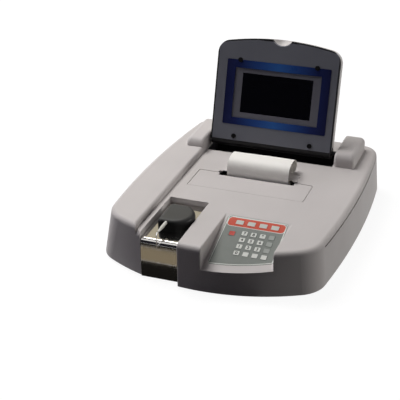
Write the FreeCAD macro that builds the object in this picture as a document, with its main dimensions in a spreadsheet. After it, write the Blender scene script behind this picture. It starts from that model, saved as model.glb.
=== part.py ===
import FreeCAD, Part
import math
import os
import re
import Sketcher

# Benchtop chemistry analyzer, in millimetres.
# The origin is on the table, in the middle of the instrument. X runs to its right, Y to its back, Z up.

# Driving dimensions
SIZES = {
    # Casing
    "case_width": 398,
    "case_depth": 448,
    "foot_height": 4,
    "deck_top": 80,
    "ridge_rise": 11,
    "ridge_gap": 3,
    "case_wall": 3,
    "front_lean": 3.2,
    "side_lean": 3.4,
    "left_lean": 13,
    "rear_lean": 2.5,
    "front_bow": 345,
    "side_bow": 1460,
    "side_bow_place": 38,
    "left_bow_place": -40,
    "rear_bow": 5000,
    "front_corner": 50,
    "rear_corner": 30,
    "edge_round": 9,
    "ridge_round": 5,
    "rim_round": 2,
    "groove_height": 3,
    "groove_depth": 2,
    "groove_drop": 8,
    "groove_front": -140,
    "post_radius": 5,
    "post_margin": 51,
    "post_front_reach": 106,
    "post_rear_reach": 128,
    # Lid hinge and its blocks
    "hinge_reach": 87.7,
    "hinge_rise": 14,
    "lid_tilt": 18.8,
    "pin_radius": 4,
    "pin_reach": 22,
    "pin_play": 0.05,
    "block_left_width": 32.5,
    "block_left_front": 42,
    "block_left_rear": 52,
    "block_left_rise": 12,
    "block_gap": 8.1,
    "block_right_width": 36.7,
    "block_right_front": 23,
    "block_right_rear": 62,
    "block_right_rise": 10,
    "block_round": 5,
    "block_nose": 15,
    "block_side_round": 9,
    "boss_wall": 5.5,
    "trough_front": 25,
    "trough_rear": 27,
    "trough_depth": 25,
    "liner_wall": 1.5,
    # Lid
    "lid_middle": 5.35,
    "lid_width": 227.7,
    "lid_length": 188.6,
    "lid_front": 11,
    "lid_thickness": 22,
    "lid_arch": 506,
    "lid_corner": 24,
    "lid_back_round": 7,
    "lid_wall": 2.5,
    "bezel_thickness": 3.5,
    "bezel_round": 1.2,
    "barrel_radius": 11,
    "barrel_end_gap": 1.5,
    "notch_offset": 4.15,
    "notch_width": 38,
    "notch_depth": 11.5,
    "notch_forward": 6,
    "display_left_margin": 20.1,
    "display_right_margin": 15,
    "display_low": 29.8,
    "display_high_margin": 42.1,
    "display_sheet": 1,
    "display_corner": 2,
    "window_side_margin": 16,
    "window_low_margin": 12.8,
    "window_high_margin": 13.9,
    "window_corner": 1,
    "screen_side_margin": 14.6,
    "screen_low_margin": 10.1,
    "screen_high_margin": 8.5,
    "screen_recess": 1,
    "module_thickness": 9,
    "cap_radius": 4.2,
    "cap_rise": 2.2,
    "cap_left_inset": 23.9,
    "cap_right_inset": 25.7,
    "cap_low": 8.4,
    # Splash plate and its channel
    "ridge_shelf": 10.8,
    "plate_width": 65.5,
    "plate_rear_reach": 144,
    "plate_bend_reach": 19.5,
    "plate_toe_reach": 14.5,
    "plate_sheet": 1.5,
    "plate_bend_round": 9,
    "plate_play": 1.5,
    "channel_depth": 11.5,
    "cut_overrun": 40,
    # Aspirator
    "hood_inset": 13.7,
    "hood_straight": 23,
    "hood_reach": 82,
    "hood_radius": 30,
    "hood_height": 20,
    "hood_wall": 2,
    "hood_edge": 7,
    "sleeve_inset": 16,
    "sleeve_rise": 15.5,
    "sleeve_radius": 2.6,
    "sleeve_length": 30,
    "sleeve_inside": 4,
    "sleeve_tip": 1.3,
    "needle_radius": 0.8,
    "needle_bore": 0.5,
    "needle_forward": 37.5,
    "needle_inside": 20,
    "needle_drop": 27,
    "needle_bend": 4,
    # Keypad
    "pad_left": 7,
    "pad_width": 111,
    "pad_reach": 122,
    "pad_slope": 17.5,
    "sheet_left_margin": 5.4,
    "sheet_right_margin": 4,
    "sheet_margin": 3,
    "sheet_bow": 328,
    "sheet_corner": 5,
    "sheet_proud": 0.2,
    "sheet_thickness": 2,
    "circuit_thickness": 1.2,
    "sheet_play": 0.3,
    "key_width": 10,
    "key_length": 9.5,
    "key_column_inset": 38.4,
    "key_row": 37.6,
    "key_column_step": 15.1,
    "key_row_step": 14,
    "menu_key_width": 13.5,
    "menu_key_inset": 23.1,
    "menu_key_step": 19.9,
    "menu_key_row": 15.8,
    "stop_key_inset": 18.1,
    "stop_key_row": 41,
    "key_play": 0.35,
    "key_rise": 0.4,
    "key_lift": 0.6,
    "key_corner": 1,
    # Printer
    "cover_left": -93,
    "cover_right": 114,
    "cover_front": -28,
    "cover_rear": 32,
    "cover_thickness": 2.5,
    "cover_corner": 3,
    "cover_play": 0.7,
    "trunnion_radius": 0.8,
    "trunnion_reach": 4,
    "slot_left": -55,
    "slot_right": 82,
    "slot_front": 22.5,
    "bay_left": -58,
    "bay_right": 86,
    "bay_front": -22,
    "bay_rear": 38,
    "tub_wall": 2,
    "tub_floor": 32,
    "bar_front": 33.5,
    "bar_thickness": 2.5,
    "bar_rise": 2.2,
    "bar_depth": 14,
    "paper_middle": 15.7,
    "paper_width": 111.4,
    "paper_thickness": 0.4,
    "paper_place": 26.6,
    "paper_foot": 62,
    "paper_height": 24.5,
    "paper_reach": 54,
    "curl_radius": 9,
    "roll_radius": 17,
    "roll_core": 6,
    "roll_place": -3,
    "roll_seat": 0.3,
    "platen_radius": 5,
    "platen_place": 21.3,
    "platen_height": 66,
    "platen_shaft": 2,
    "platen_gear": 8,
    "platen_gear_width": 4,
    "gear_teeth": 20,
    "gear_tooth": 1.2,
    "shaft_play": 0.05,
    "head_thickness": 4,
    "head_gap": 0.2,
    "head_height": 14,
    # Base tray, feet and screws
    "tray_sheet": 1.5,
    "tray_play": 0.4,
    "foot_radius": 9,
    "foot_margin": 57,
    "foot_front_reach": 89,
    "foot_rear_reach": 52,
    "screw_radius": 1.5,
    "screw_head": 3,
    "screw_head_height": 2,
    "standoff_radius": 3,
    # Boards and power supply
    "board_left_gap": 22,
    "board_right_gap": 12,
    "board_reach": 142,
    "board_length": 177,
    "board_rise": 6,
    "board_sheet": 1.6,
    "supply_width": 78,
    "supply_margin": 59,
    "supply_length": 98,
    "supply_rear_gap": 52,
    "supply_rise": 2,
    "supply_height": 38,
    # Optics
    "bench_margin": 39,
    "bench_width": 40,
    "bench_front": -112,
    "bench_length": 164,
    "bench_rise": 4,
    "bench_sheet": 5,
    "beam_height": 48,
    "wheel_radius": 19,
    "wheel_reach": 82,
    "wheel_width": 6,
    "filter_circle": 13.5,
    "filter_radius": 4,
    "filter_count": 6,
    "wheel_shaft": 2.5,
    "wheel_gap": 2,
    "wheel_motor_radius": 11,
    "wheel_motor_length": 24,
    "wheel_axle_inside": 12,
    "shaft_end_gap": 1,
    "lamp_reach": 124,
    "lamp_length": 34,
    "lamp_width": 34,
    "lamp_fins": 5,
    "lens_radius": 7,
    "lens_length": 30,
    "cell_reach": 16,
    "cell_length": 18,
    "cell_width": 18,
    # Peristaltic pump
    "pump_front_gap": 98,
    "pump_length": 42,
    "pump_margin": 59,
    "pump_width": 16,
    "pump_rise": 24,
    "pump_bore": 17,
    "pump_motor_radius": 13,
    "pump_motor_length": 26,
    "pump_shaft": 2.5,
    "pump_axle_inside": 9,
    "roller_circle": 10.5,
    "roller_radius": 3.5,
    "roller_count": 3,
    "rotor_radius": 13,
    "rotor_width": 10,
    "rotor_gap": 1.5,
    # Rear panel and what it holds
    "rear_pocket_margin": 64,
    "rear_pocket_low": 12,
    "rear_pocket_high": 66,
    "rear_pocket_depth": 18,
    "rear_lip": 7,
    "rear_sheet": 1.5,
    "fan_margin": 12,
    "fan_size": 46,
    "fan_depth": 15,
    "fan_bore": 21.5,
    "fan_gap": 0.5,
    "fan_seat_depth": 5,
    "fan_hub": 9,
    "fan_shaft": 2,
    "fan_blade": 1.5,
    "fan_blades": 7,
    "vent_slots": 7,
    "vent_height": 3,
    "vent_step": 5.5,
    "vent_width": 38,
    "entry_width": 62,
    "entry_margin": 11,
    "entry_low": 17,
    "entry_high": 61,
    "entry_depth": 26,
    "entry_flange": 2,
    "inlet_width": 24,
    "inlet_height": 17,
    "inlet_depth": 15,
    "inlet_margin": 5,
    "inlet_pin": 2,
    "drawer_rise": 0.8,
    "switch_width": 13,
    "switch_height": 20,
    "switch_depth": 9,
    "switch_play": 0.35,
    "switch_pin": 1.2,
    "port_serial_width": 31,
    "port_serial_height": 12.5,
    "port_keyboard_radius": 6.8,
    "port_stand": 3,
    "port_depth": 10,
    "waste_radius": 3.2,
    "waste_length": 14,
}

# Places that follow from the driving dimensions
PLACES = {
    "case_front": "0 - case_depth / 2",
    "ridge_top": "deck_top + ridge_rise",
    "ridge_wall": "lid_left - ridge_gap",
    "post_x": "case_width / 2 - post_margin",
    "post_front": "case_front + post_front_reach",
    "post_rear": "case_depth / 2 - post_rear_reach",
    "hinge_place": "case_depth / 2 - hinge_reach",
    "block_right_place": "lid_right + block_gap",
    "hinge_z": "deck_top + hinge_rise",
    "bow_middle": "front_bow - case_depth / 2",
    "block_right_end": "block_right_place + block_right_width",
    "block_left_end": "ridge_wall - block_left_width",
    "trough_low": "deck_top - trough_depth",
    "trough_near": "hinge_place - trough_front",
    "trough_far": "hinge_place + trough_rear",
    "lid_left": "lid_middle - lid_width / 2",
    "lid_right": "lid_middle + lid_width / 2",
    "lid_back": "lid_front - lid_thickness",
    "bezel_back": "lid_front - bezel_thickness",
    "barrel_left": "lid_left + barrel_end_gap",
    "barrel_right": "lid_right - barrel_end_gap",
    "notch_middle": "lid_middle + notch_offset",
    "display_left": "lid_left + display_left_margin",
    "display_right": "lid_right - display_right_margin",
    "display_width": "display_right - display_left",
    "display_middle": "(display_left + display_right) / 2",
    "display_high": "lid_length - display_high_margin",
    "window_width": "display_width - window_side_margin * 2",
    "window_low": "display_low + window_low_margin",
    "window_high": "display_high - window_high_margin",
    "screen_width": "window_width - screen_side_margin * 2",
    "screen_low": "window_low + screen_low_margin",
    "screen_high": "window_high - screen_high_margin",
    "cap_high": "display_high",
    "plate_left": "ridge_wall + ridge_shelf",
    "plate_rear": "case_front + plate_rear_reach",
    "plate_bend": "case_front + plate_bend_reach",
    "plate_toe": "case_front + plate_toe_reach",
    "plate_right": "plate_left + plate_width",
    "channel_low": "deck_top - channel_depth",
    "channel_left": "plate_left - plate_play",
    "channel_right": "plate_right + plate_play",
    "hood_left": "plate_left + hood_inset",
    "hood_round_middle": "hood_left + hood_straight",
    "hood_middle": "case_front + hood_reach",
    "sleeve_x": "hood_left + sleeve_inset",
    "hood_low": "channel_low + plate_sheet",
    "hood_top": "hood_low + hood_height",
    "hood_front": "hood_middle - hood_radius",
    "sleeve_z": "hood_low + sleeve_rise",
    "pad_right": "pad_left + pad_width",
    "pad_top": "case_front + pad_reach",
    "sheet_left": "pad_left + sheet_left_margin",
    "sheet_right": "pad_right - sheet_right_margin",
    "key_column": "sheet_left + key_column_inset",
    "menu_key_column": "sheet_left + menu_key_inset",
    "stop_key_column": "sheet_left + stop_key_inset",
    "circuit_low": "sheet_proud - sheet_thickness - circuit_thickness",
    "circuit_top": "sheet_proud - sheet_thickness",
    "cover_low": "deck_top - cover_thickness",
    "cover_axis_y": "cover_front + cover_thickness / 2",
    "cover_axis_z": "deck_top - cover_thickness / 2",
    "rebate_low": "cover_low - cover_play / 2",
    "paper_left": "paper_middle - paper_width / 2",
    "paper_right": "paper_middle + paper_width / 2",
    "roll_z": "tub_floor + tub_wall + roll_seat + roll_radius",
    "tray_top": "foot_height + tray_sheet",
    "foot_x": "case_width / 2 - foot_margin",
    "foot_front": "case_front + foot_front_reach",
    "foot_rear": "case_depth / 2 - foot_rear_reach",
    "board_left": "bench_right + board_left_gap",
    "board_right": "supply_left - board_right_gap",
    "board_front": "case_front + board_reach",
    "board_rear": "board_front + board_length",
    "board_low": "tray_top + board_rise",
    "supply_right": "case_width / 2 - supply_margin",
    "supply_left": "supply_right - supply_width",
    "supply_rear": "rear_pocket_place - supply_rear_gap",
    "supply_front": "supply_rear - supply_length",
    "supply_low": "tray_top + supply_rise",
    "supply_top": "supply_low + supply_height",
    "bench_left": "bench_margin - case_width / 2",
    "bench_right": "bench_left + bench_width",
    "bench_rear": "bench_front + bench_length",
    "bench_low": "tray_top + bench_rise",
    "bench_top": "bench_low + bench_sheet",
    "beam_x": "(bench_left + bench_right) / 2",
    "wheel_place": "bench_front + wheel_reach",
    "lamp_front": "bench_front + lamp_reach",
    "lamp_rear": "lamp_front + lamp_length",
    "cell_front": "bench_front + cell_reach",
    "cell_rear": "cell_front + cell_length",
    "wheel_z": "beam_height - filter_circle",
    "wheel_front": "wheel_place - wheel_width / 2",
    "wheel_rear": "wheel_place + wheel_width / 2",
    "pump_left": "pump_margin - case_width / 2",
    "pump_front": "rear_pocket_place - pump_front_gap",
    "pump_y": "pump_front + pump_length / 2",
    "pump_z": "tray_top + pump_rise",
    "pump_right": "pump_left + pump_width",
    "rear_pocket_width": "case_width - rear_pocket_margin * 2",
    "rear_pocket_place": "case_depth / 2 - rear_pocket_depth",
    "fan_middle": "fan_margin + fan_size / 2 - rear_pocket_width / 2",
    "fan_z": "(rear_pocket_low + rear_pocket_high) / 2",
    "pocket_floor": "rear_pocket_place - case_wall",
    "panel_back": "rear_pocket_place + rear_sheet",
    "entry_right": "rear_pocket_width / 2 - entry_margin",
    "entry_left": "entry_right - entry_width",
    "port_room": "entry_left - fan_middle - fan_size / 2",
    "port_gap": "(port_room - port_serial_width - port_keyboard_radius * 2 - waste_radius * 4) / 4",
    "port_serial": "entry_left - port_gap - port_serial_width / 2",
    "port_keyboard": "port_serial - port_serial_width / 2 - port_gap - port_keyboard_radius",
    "waste_place": "port_keyboard - port_keyboard_radius - port_gap - waste_radius * 2",
    "entry_z": "(entry_low + entry_high) / 2",
    "switch_x": "entry_right - inlet_margin - switch_width / 2",
    "inlet_x": "entry_left + inlet_margin + inlet_width / 2",
}

doc = FreeCAD.newDocument("chemistry_analyzer")
sheet = doc.addObject("Spreadsheet::Sheet", "dims")
for line, (alias, size) in enumerate(SIZES.items(), 1):
    sheet.set("A%d" % line, alias)
    sheet.set("B%d" % line, str(size))
    sheet.setAlias("B%d" % line, alias)
doc.recompute()

AXES = {"X": FreeCAD.Vector(1, 0, 0), "Y": FreeCAD.Vector(0, 1, 0), "Z": FreeCAD.Vector(0, 0, 1)}
HALF_TURN = 180
TURN_TO = {"X": ("Y", 90), "Y": ("X", -90), "Z": ("Z", 0)}
nodes = {}


def bound(text):
    """Write an expression's names as cells of the sheet."""
    def spelled(match):
        word = match.group()
        if word in PLACES:
            return "(" + bound(PLACES[word]) + ")"
        return "dims." + word if word in SIZES else word
    return re.sub(r"[a-z][a-z_]*", spelled, text)


def value(text):
    """The number that an expression has now."""
    return float(sheet.evalExpression(bound(text)))


def tie(thing, **properties):
    """Bind properties of an object to expressions; Base_x stands for Placement.Base.x."""
    for name, text in properties.items():
        path = name.replace("Base_", "Placement.Base.")
        thing.setExpression(path, bound(text))
    return thing


def turned(thing, axis, degrees="0", x="0", y="0", z="0"):
    """Place a finished object: turned about an axis by an expression, then moved."""
    thing.Placement = FreeCAD.Placement(FreeCAD.Vector(), FreeCAD.Rotation(AXES[axis], 1))
    thing.setExpression("Placement.Rotation.Angle", bound(degrees))
    return tie(thing, Base_x=x, Base_y=y, Base_z=z)


def block(name, x, y, z):
    """A box from the low to the high expression on each axis."""
    box = doc.addObject("Part::Box", name)
    tie(box, Length="(%s) - (%s)" % (x[1], x[0]), Width="(%s) - (%s)" % (y[1], y[0]))
    tie(box, Height="(%s) - (%s)" % (z[1], z[0]))
    return tie(box, Base_x=x[0], Base_y=y[0], Base_z=z[0])


def rod(name, axis, middle, span, radius):
    """A cylinder along an axis: its middle on the other two axes, its span and its radius."""
    cylinder = doc.addObject("Part::Cylinder", name)
    turn_axis, turn_angle = TURN_TO[axis]
    turn = FreeCAD.Rotation(AXES[turn_axis], turn_angle)
    cylinder.Placement = FreeCAD.Placement(FreeCAD.Vector(), turn)
    tie(cylinder, Radius=radius, Height="(%s) - (%s)" % (span[1], span[0]))
    place = dict(zip([letter for letter in "XYZ" if letter != axis], middle))
    place[axis] = span[0]
    return tie(cylinder, Base_x=place["X"], Base_y=place["Y"], Base_z=place["Z"])


def slab(name, plane, outline, span):
    """A sketch of straight lines through points, padded from the low to the high expression."""
    body = doc.addObject("PartDesign::Body", name)
    sketch = body.newObject("Sketcher::SketchObject", name + "_sketch")
    origin_plane = [part for part in body.Origin.OriginFeatures if part.Role == plane + "_Plane"][0]
    sketch.AttachmentSupport = [(origin_plane, "")]
    sketch.MapMode = "FlatFace"
    points = [FreeCAD.Vector(value(first), value(second), 0) for first, second in outline]
    count = len(points)
    for corner in range(count):
        sketch.addGeometry(Part.LineSegment(points[corner], points[(corner + 1) % count]))
    for corner in range(count):
        sketch.addConstraint(Sketcher.Constraint("Coincident", corner, 2, (corner + 1) % count, 1))
    for corner, (first, second) in enumerate(outline):
        for kind, text in (("DistanceX", first), ("DistanceY", second)):
            row = sketch.addConstraint(Sketcher.Constraint(kind, -1, 1, corner, 1, value(text)))
            sketch.setExpression("Constraints[%d]" % row, bound(text))
    pad = body.newObject("PartDesign::Pad", name + "_pad")
    pad.Profile = sketch
    pad.setExpression("Length", bound("(%s) - (%s)" % (span[1], span[0])))
    normal = {"XY": "Base_z", "YZ": "Base_x"}[plane]
    return tie(body, **{normal: span[0]})


def fused(name, *parts):
    """One shape of several."""
    union = doc.addObject("Part::MultiFuse", name)
    union.Shapes = list(parts)
    return union


def shared(name, *parts):
    """What several shapes have in common."""
    meeting = doc.addObject("Part::MultiCommon", name)
    meeting.Shapes = list(parts)
    return meeting


def cut(name, base, *tools):
    """A shape less its tools."""
    remainder = doc.addObject("Part::Cut", name)
    remainder.Base = base
    remainder.Tool = tools[0] if len(tools) == 1 else fused(name + "_tools", *tools)
    return remainder


def grouped(name, *parts):
    """Separate solids that share one name."""
    group = doc.addObject("Part::Compound", name)
    group.Links = list(parts)
    return group


def rounded(name, base, choose, radius):
    """A shape with the edges that choose() picks rounded; choose gets an edge's box and middle."""
    doc.recompute()
    fillet = doc.addObject("Part::Fillet", name)
    fillet.Base = base
    size = value(radius)
    picked = []
    for number, edge in enumerate(base.Shape.Edges, 1):
        middle = edge.valueAt((edge.FirstParameter + edge.LastParameter) / 2)
        if choose(edge, middle):
            picked.append((number, size, size))
    fillet.Edges = picked
    return fillet


def near(first, second):
    """Whether two lengths agree within the modelling tolerance."""
    return abs(first - second) < TOLERANCE


def flat_at(edge, height):
    """Whether an edge lies level at a height."""
    box = edge.BoundBox
    return near(box.ZMin, height) and near(box.ZMax, height)


def upright(edge):
    """Whether an edge is a straight vertical line."""
    box = edge.BoundBox
    return near(box.XLength, 0) and near(box.YLength, 0)


def keep(name, thing):
    """Note a finished sub-part under its own name."""
    thing.Label = name
    nodes[name] = thing
    return thing


TOLERANCE = value("pin_play") / 5


def form(name, inset, low, high):
    """The leaning, bowed shape of the casing, inset by an amount, between two heights."""
    walls = (
        ("front", "0", "bow_middle", "front_bow", "front_lean", 0),
        ("right", "case_width / 2 - side_bow", "side_bow_place", "side_bow", "side_lean", HALF_TURN),
        ("left", "side_bow - case_width / 2", "left_bow_place", "side_bow", "left_lean", 0),
        ("rear", "0", "case_depth / 2 - rear_bow", "rear_bow", "rear_lean", 0),
    )
    cones = []
    for side, x, y, radius, lean, seam in walls:
        cone = doc.addObject("Part::Cone", name + "_" + side)
        cone.Placement = FreeCAD.Placement(FreeCAD.Vector(), FreeCAD.Rotation(AXES["Z"], seam))
        size = "%s - (%s) - (%s - foot_height) * tan(%s)"
        tie(cone, Radius1=size % (radius, inset, low, lean), Radius2=size % (radius, inset, high, lean))
        tie(cone, Height="(%s) - (%s)" % (high, low), Base_x=x, Base_y=y, Base_z=low)
        cones.append(cone)
    sharp = shared(name + "_sharp", *cones)
    doc.recompute()
    fillet = doc.addObject("Part::Fillet", name)
    fillet.Base = sharp
    picked = []
    for number, edge in enumerate(sharp.Shape.Edges, 1):
        ends = [vertex.Point for vertex in edge.Vertexes]
        if len(ends) == 2 and not near(ends[0].z, ends[1].z):
            corner = "front_corner" if ends[0].y < 0 else "rear_corner"
            size = value("%s - (%s)" % (corner, inset))
            picked.append((number, size, size))
    fillet.Edges = picked
    return fillet


def right_of_ridge(name, wall, low):
    """Everything to the right of the ridge's wall, above a height."""
    return block(name, ("ridge_wall - (%s)" % wall, "case_width"), ("0 - case_depth", "case_depth"),
                 (low, "ridge_top + cut_overrun"))


def channel(name, grow):
    """The channel that the splash plate lies in, or that channel grown by a wall."""
    bottom = "channel_low - (%s)" % grow
    outline = (
        ("plate_rear + plate_play + (%s)" % grow, "ridge_top + cut_overrun"),
        ("plate_rear + plate_play + (%s)" % grow, bottom),
        ("plate_bend + plate_sheet + (%s)" % grow, bottom),
        ("plate_toe + plate_sheet + (%s)" % grow, "0 - (%s)" % grow),
        ("0 - case_depth", "0 - (%s)" % grow),
        ("0 - case_depth", "ridge_top + cut_overrun"),
    )
    return slab(name, "YZ", outline, ("channel_left - (%s)" % grow, "channel_right + (%s)" % grow))


def soft_channel():
    """The channel, with its floor rounded down to the front as the plate is."""
    floor, bend = value("channel_low"), value("plate_bend + plate_sheet")
    return rounded("channel_soft", channel("channel", "0"),
                   lambda edge, middle: near(middle.y, bend) and flat_at(edge, floor),
                   "plate_bend_round - plate_sheet")


def keypad_recess(name, grow):
    """The sloping recess of the keypad, or that recess grown by a wall."""
    run = "(pad_top + case_depth)"
    outline = (
        ("pad_top + (%s) * tan(pad_slope / 2)" % grow, "deck_top + cut_overrun"),
        ("pad_top + (%s) * tan(pad_slope / 2)" % grow, "deck_top - (%s)" % grow),
        ("0 - case_depth", "deck_top - (%s) - %s * tan(pad_slope)" % (grow, run)),
        ("0 - case_depth", "deck_top + cut_overrun"),
    )
    return slab(name, "YZ", outline, ("pad_left - (%s)" % grow, "pad_right + (%s)" % grow))


def on_keypad(thing):
    """Lay a flat shape on the keypad's slope: its Y runs up the slope from the top edge."""
    return turned(grouped(thing.Name + "_laid", thing), "X", "pad_slope", y="pad_top", z="deck_top")


def keypad_layer(name, low, high, play):
    """A layer of the membrane: straight sides, and a lower edge that follows the bowed front."""
    flat = block(name + "_flat", ("sheet_left - (%s)" % play, "sheet_right + (%s)" % play),
                 ("0 - case_depth / 3", "(%s) - sheet_margin" % play), (low, high))
    lowest = "(bow_middle - sheet_bow - pad_top) / cos(pad_slope)"
    bow = rod(name + "_bow", "Z", ("0", lowest + " + sheet_bow * cos(pad_slope)"), (low, high),
              "sheet_bow * cos(pad_slope) + (%s)" % play)
    layer = rounded(name, shared(name + "_square", flat, bow), lambda edge, middle: upright(edge), "sheet_corner")
    return on_keypad(layer)


def trough(name, grow):
    """The trough under the lid's hinge, or that trough grown by a wall."""
    return block(name, ("ridge_wall + liner_wall - (%s)" % grow, "block_right_place - liner_wall + (%s)" % grow),
                 ("trough_near - (%s)" % grow, "trough_far + (%s)" % grow),
                 ("trough_low - (%s)" % grow, "deck_top + (%s)" % ("cut_overrun" if grow == "0" else "0")))


def cover_rebate(name, grow):
    """The shallow rebate of the printer cover."""
    return block(name, ("cover_left - cover_play - (%s)" % grow, "cover_right + cover_play + (%s)" % grow),
                 ("cover_front - cover_play - (%s)" % grow, "cover_rear + cover_play + (%s)" % grow),
                 ("rebate_low - (%s)" % grow, "deck_top + case_wall"))


def rear_pocket(name, grow):
    """The upright pocket in the leaning rear wall."""
    return block(name, ("0 - rear_pocket_width / 2 - (%s)" % grow, "rear_pocket_width / 2 + (%s)" % grow),
                 ("rear_pocket_place - (%s)" % grow, "case_depth"),
                 ("rear_pocket_low - (%s)" % grow, "rear_pocket_high + (%s)" % grow))


def hinge_block(name, x, y, top, low, wall):
    """A hinge block, or its hollow inside a wall: a broad nose, a soft outer edge and small corners."""
    solid = block(name + "_square", ("(%s) + (%s)" % (x[0], wall), "(%s) - (%s)" % (x[1], wall)),
                  ("(%s) + (%s)" % (y[0], wall), "(%s) - (%s)" % (y[1], wall)), (low, "(%s) - (%s)" % (top, wall)))
    doc.recompute()
    box = solid.Shape.BoundBox
    outer_side = box.XMin if box.Center.x < 0 else box.XMax
    sizes = {word: value("%s - (%s)" % (word, wall)) for word in ("block_nose", "block_side_round", "block_round")}
    picked = []
    for number, edge in enumerate(solid.Shape.Edges, 1):
        middle = edge.valueAt((edge.FirstParameter + edge.LastParameter) / 2)
        size = None
        if flat_at(edge, box.ZMax):
            size = sizes["block_round"]
            if near(middle.y, box.YMin):
                size = sizes["block_nose"]
            elif near(middle.x, outer_side):
                size = sizes["block_side_round"]
        elif upright(edge):
            size = sizes["block_round"]
        if size:
            picked.append((number, size, size))
    fillet = doc.addObject("Part::Fillet", name)
    fillet.Base = solid
    fillet.Edges = picked
    return fillet


def case_posts():
    """The four long posts that the case screws turn into."""
    posts = []
    for x, top in (("0 - post_x", "ridge_top"), ("post_x", "deck_top")):
        for y in ("post_front", "post_rear"):
            posts.append(rod("post", "Z", (x, y), ("tray_top", top + " - case_wall / 2"), "post_radius"))
    return posts


def case_post_holes(name, radius, low, high):
    """Rods at the four case screws."""
    holes = []
    for x in ("0 - post_x", "post_x"):
        for y in ("post_front", "post_rear"):
            holes.append(rod(name, "Z", (x, y), (low, high), radius))
    return holes


def side_groove():
    """The shallow groove under the deck's edge, along the sides and the rear."""
    band = block("groove_band", ("0 - case_width", "case_width"), ("groove_front", "case_depth"),
                 ("deck_top - groove_drop - groove_height", "deck_top - groove_drop"))
    return cut("groove", band, form("groove_inner", "groove_depth", "foot_height", "ridge_top"))


def soft_top(name, stepped, inset):
    """Round the upper edges: wide ones all round, and a tighter one along the ridge's wall."""
    doc.recompute()
    deck, ridge = value("deck_top - (%s)" % inset), value("ridge_top - (%s)" % inset)
    wall_x = value("ridge_wall - (%s)" % inset)
    wide, tight = value("edge_round - (%s)" % inset), value("ridge_round - (%s)" % inset)
    picked = []
    for number, edge in enumerate(stepped.Shape.Edges, 1):
        box = edge.BoundBox
        along_wall = near(box.XMin, wall_x) and near(box.XMax, wall_x)
        if flat_at(edge, ridge) and along_wall:
            picked.append((number, tight, tight))
        elif flat_at(edge, ridge) or (flat_at(edge, deck) and not along_wall):
            picked.append((number, wide, wide))
    fillet = doc.addObject("Part::Fillet", name)
    fillet.Base = stepped
    fillet.Edges = picked
    return fillet


def soft_rims(carved):
    """Round the rims of the channel and of the keypad's recess where they meet the deck."""
    deck = value("deck_top")
    sides = [value(side) for side in ("channel_right", "pad_left", "pad_right")]

    def rim(edge, middle):
        return flat_at(edge, deck) and any(near(middle.x, side) for side in sides) and near(edge.BoundBox.XLength, 0)
    return rounded("rims", carved, rim, "rim_round")


def top_casing():
    """The moulded cover: deck, ridge, hinge blocks, recesses, and a hollow inside."""
    stepped = cut("stepped", form("outer", "0", "foot_height", "ridge_top"),
                  right_of_ridge("deck_step", "0", "deck_top"))
    soft = soft_top("outer_soft", stepped, "0")
    left = hinge_block("block_left", ("block_left_end", "ridge_wall"),
                       ("hinge_place - block_left_front", "hinge_place + block_left_rear"),
                       "hinge_z + block_left_rise", "deck_top - case_wall", "0")
    right = hinge_block("block_right", ("block_right_place", "block_right_end"),
                        ("hinge_place - block_right_front", "hinge_place + block_right_rear"),
                        "hinge_z + block_right_rise", "deck_top - case_wall", "0")
    massive = soft_rims(cut("carved", fused("massive", soft, left, right), soft_channel(),
                            keypad_recess("keypad_recess", "0")))

    hollow = soft_top("hollow_soft", cut("hollow_stepped", form("hollow", "case_wall", "0", "ridge_top - case_wall"),
                                         right_of_ridge("hollow_step", "case_wall", "deck_top - case_wall")),
                      "case_wall")
    left_room = hinge_block("left_room", ("block_left_end", "ridge_wall"),
                            ("hinge_place - block_left_front", "hinge_place + block_left_rear"),
                            "hinge_z + block_left_rise", "deck_top - case_wall", "case_wall")
    right_room = hinge_block("right_room", ("block_right_place", "block_right_end"),
                             ("hinge_place - block_right_front", "hinge_place + block_right_rear"),
                             "hinge_z + block_right_rise", "deck_top - case_wall * 2", "case_wall")
    bosses = [
        rod("boss_left", "X", ("hinge_place", "hinge_z"), ("block_left_end", "ridge_wall"),
            "pin_radius + boss_wall"),
        rod("boss_right", "X", ("hinge_place", "hinge_z"), ("block_right_place", "block_right_end"),
            "pin_radius + boss_wall"),
    ]
    walls = [channel("channel_wall", "case_wall"), keypad_recess("keypad_wall", "case_wall"),
             trough("trough_wall", "case_wall"), cover_rebate("rebate_wall", "case_wall"),
             rear_pocket("rear_wall", "case_wall")]
    pad_bed = keypad_layer("pad_bed", "circuit_low - case_wall", "0", "case_wall")
    room = cut("room", fused("rooms", hollow, left_room, right_room), pad_bed, *walls, *bosses, *case_posts())

    bores = [
        rod("bore_left", "X", ("hinge_place", "hinge_z"), ("barrel_left - pin_reach - cover_play", "ridge_wall"),
            "pin_radius + pin_play"),
        rod("bore_right", "X", ("hinge_place", "hinge_z"),
            ("block_right_place", "barrel_right + pin_reach + cover_play"), "pin_radius + pin_play"),
        rod("bore_cover", "X", ("cover_axis_y", "cover_axis_z"),
            ("cover_left - trunnion_reach", "cover_right + trunnion_reach"), "trunnion_radius + shaft_play"),
    ]
    openings = [
        block("printer_opening", ("bay_left", "bay_right"), ("bay_front", "bay_rear"),
              ("tub_floor", "deck_top + case_wall")),
        block("rear_opening", ("rear_lip - rear_pocket_width / 2", "rear_pocket_width / 2 - rear_lip"),
              ("pocket_floor - case_wall", "case_depth"),
              ("rear_pocket_low + rear_lip / 2", "rear_pocket_high - rear_lip / 2")),
    ]
    openings += case_post_holes("post_hole", "screw_radius", "0", "deck_top / 2")
    rebate_rear = value("cover_rear + cover_play")
    recesses = [trough("trough", "0"),
                rounded("rebate_soft", cover_rebate("rebate", "0"),
                        lambda edge, middle: upright(edge) and near(middle.y, rebate_rear),
                        "cover_corner + cover_play"),
                rear_pocket("rear_recess", "0"),
                keypad_layer("pad_pocket", "circuit_low", "sheet_proud + case_wall", "sheet_play")]
    casing = cut("casing", massive, room, side_groove(), *recesses, *openings, *bores)
    keep("top_casing", casing)


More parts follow.
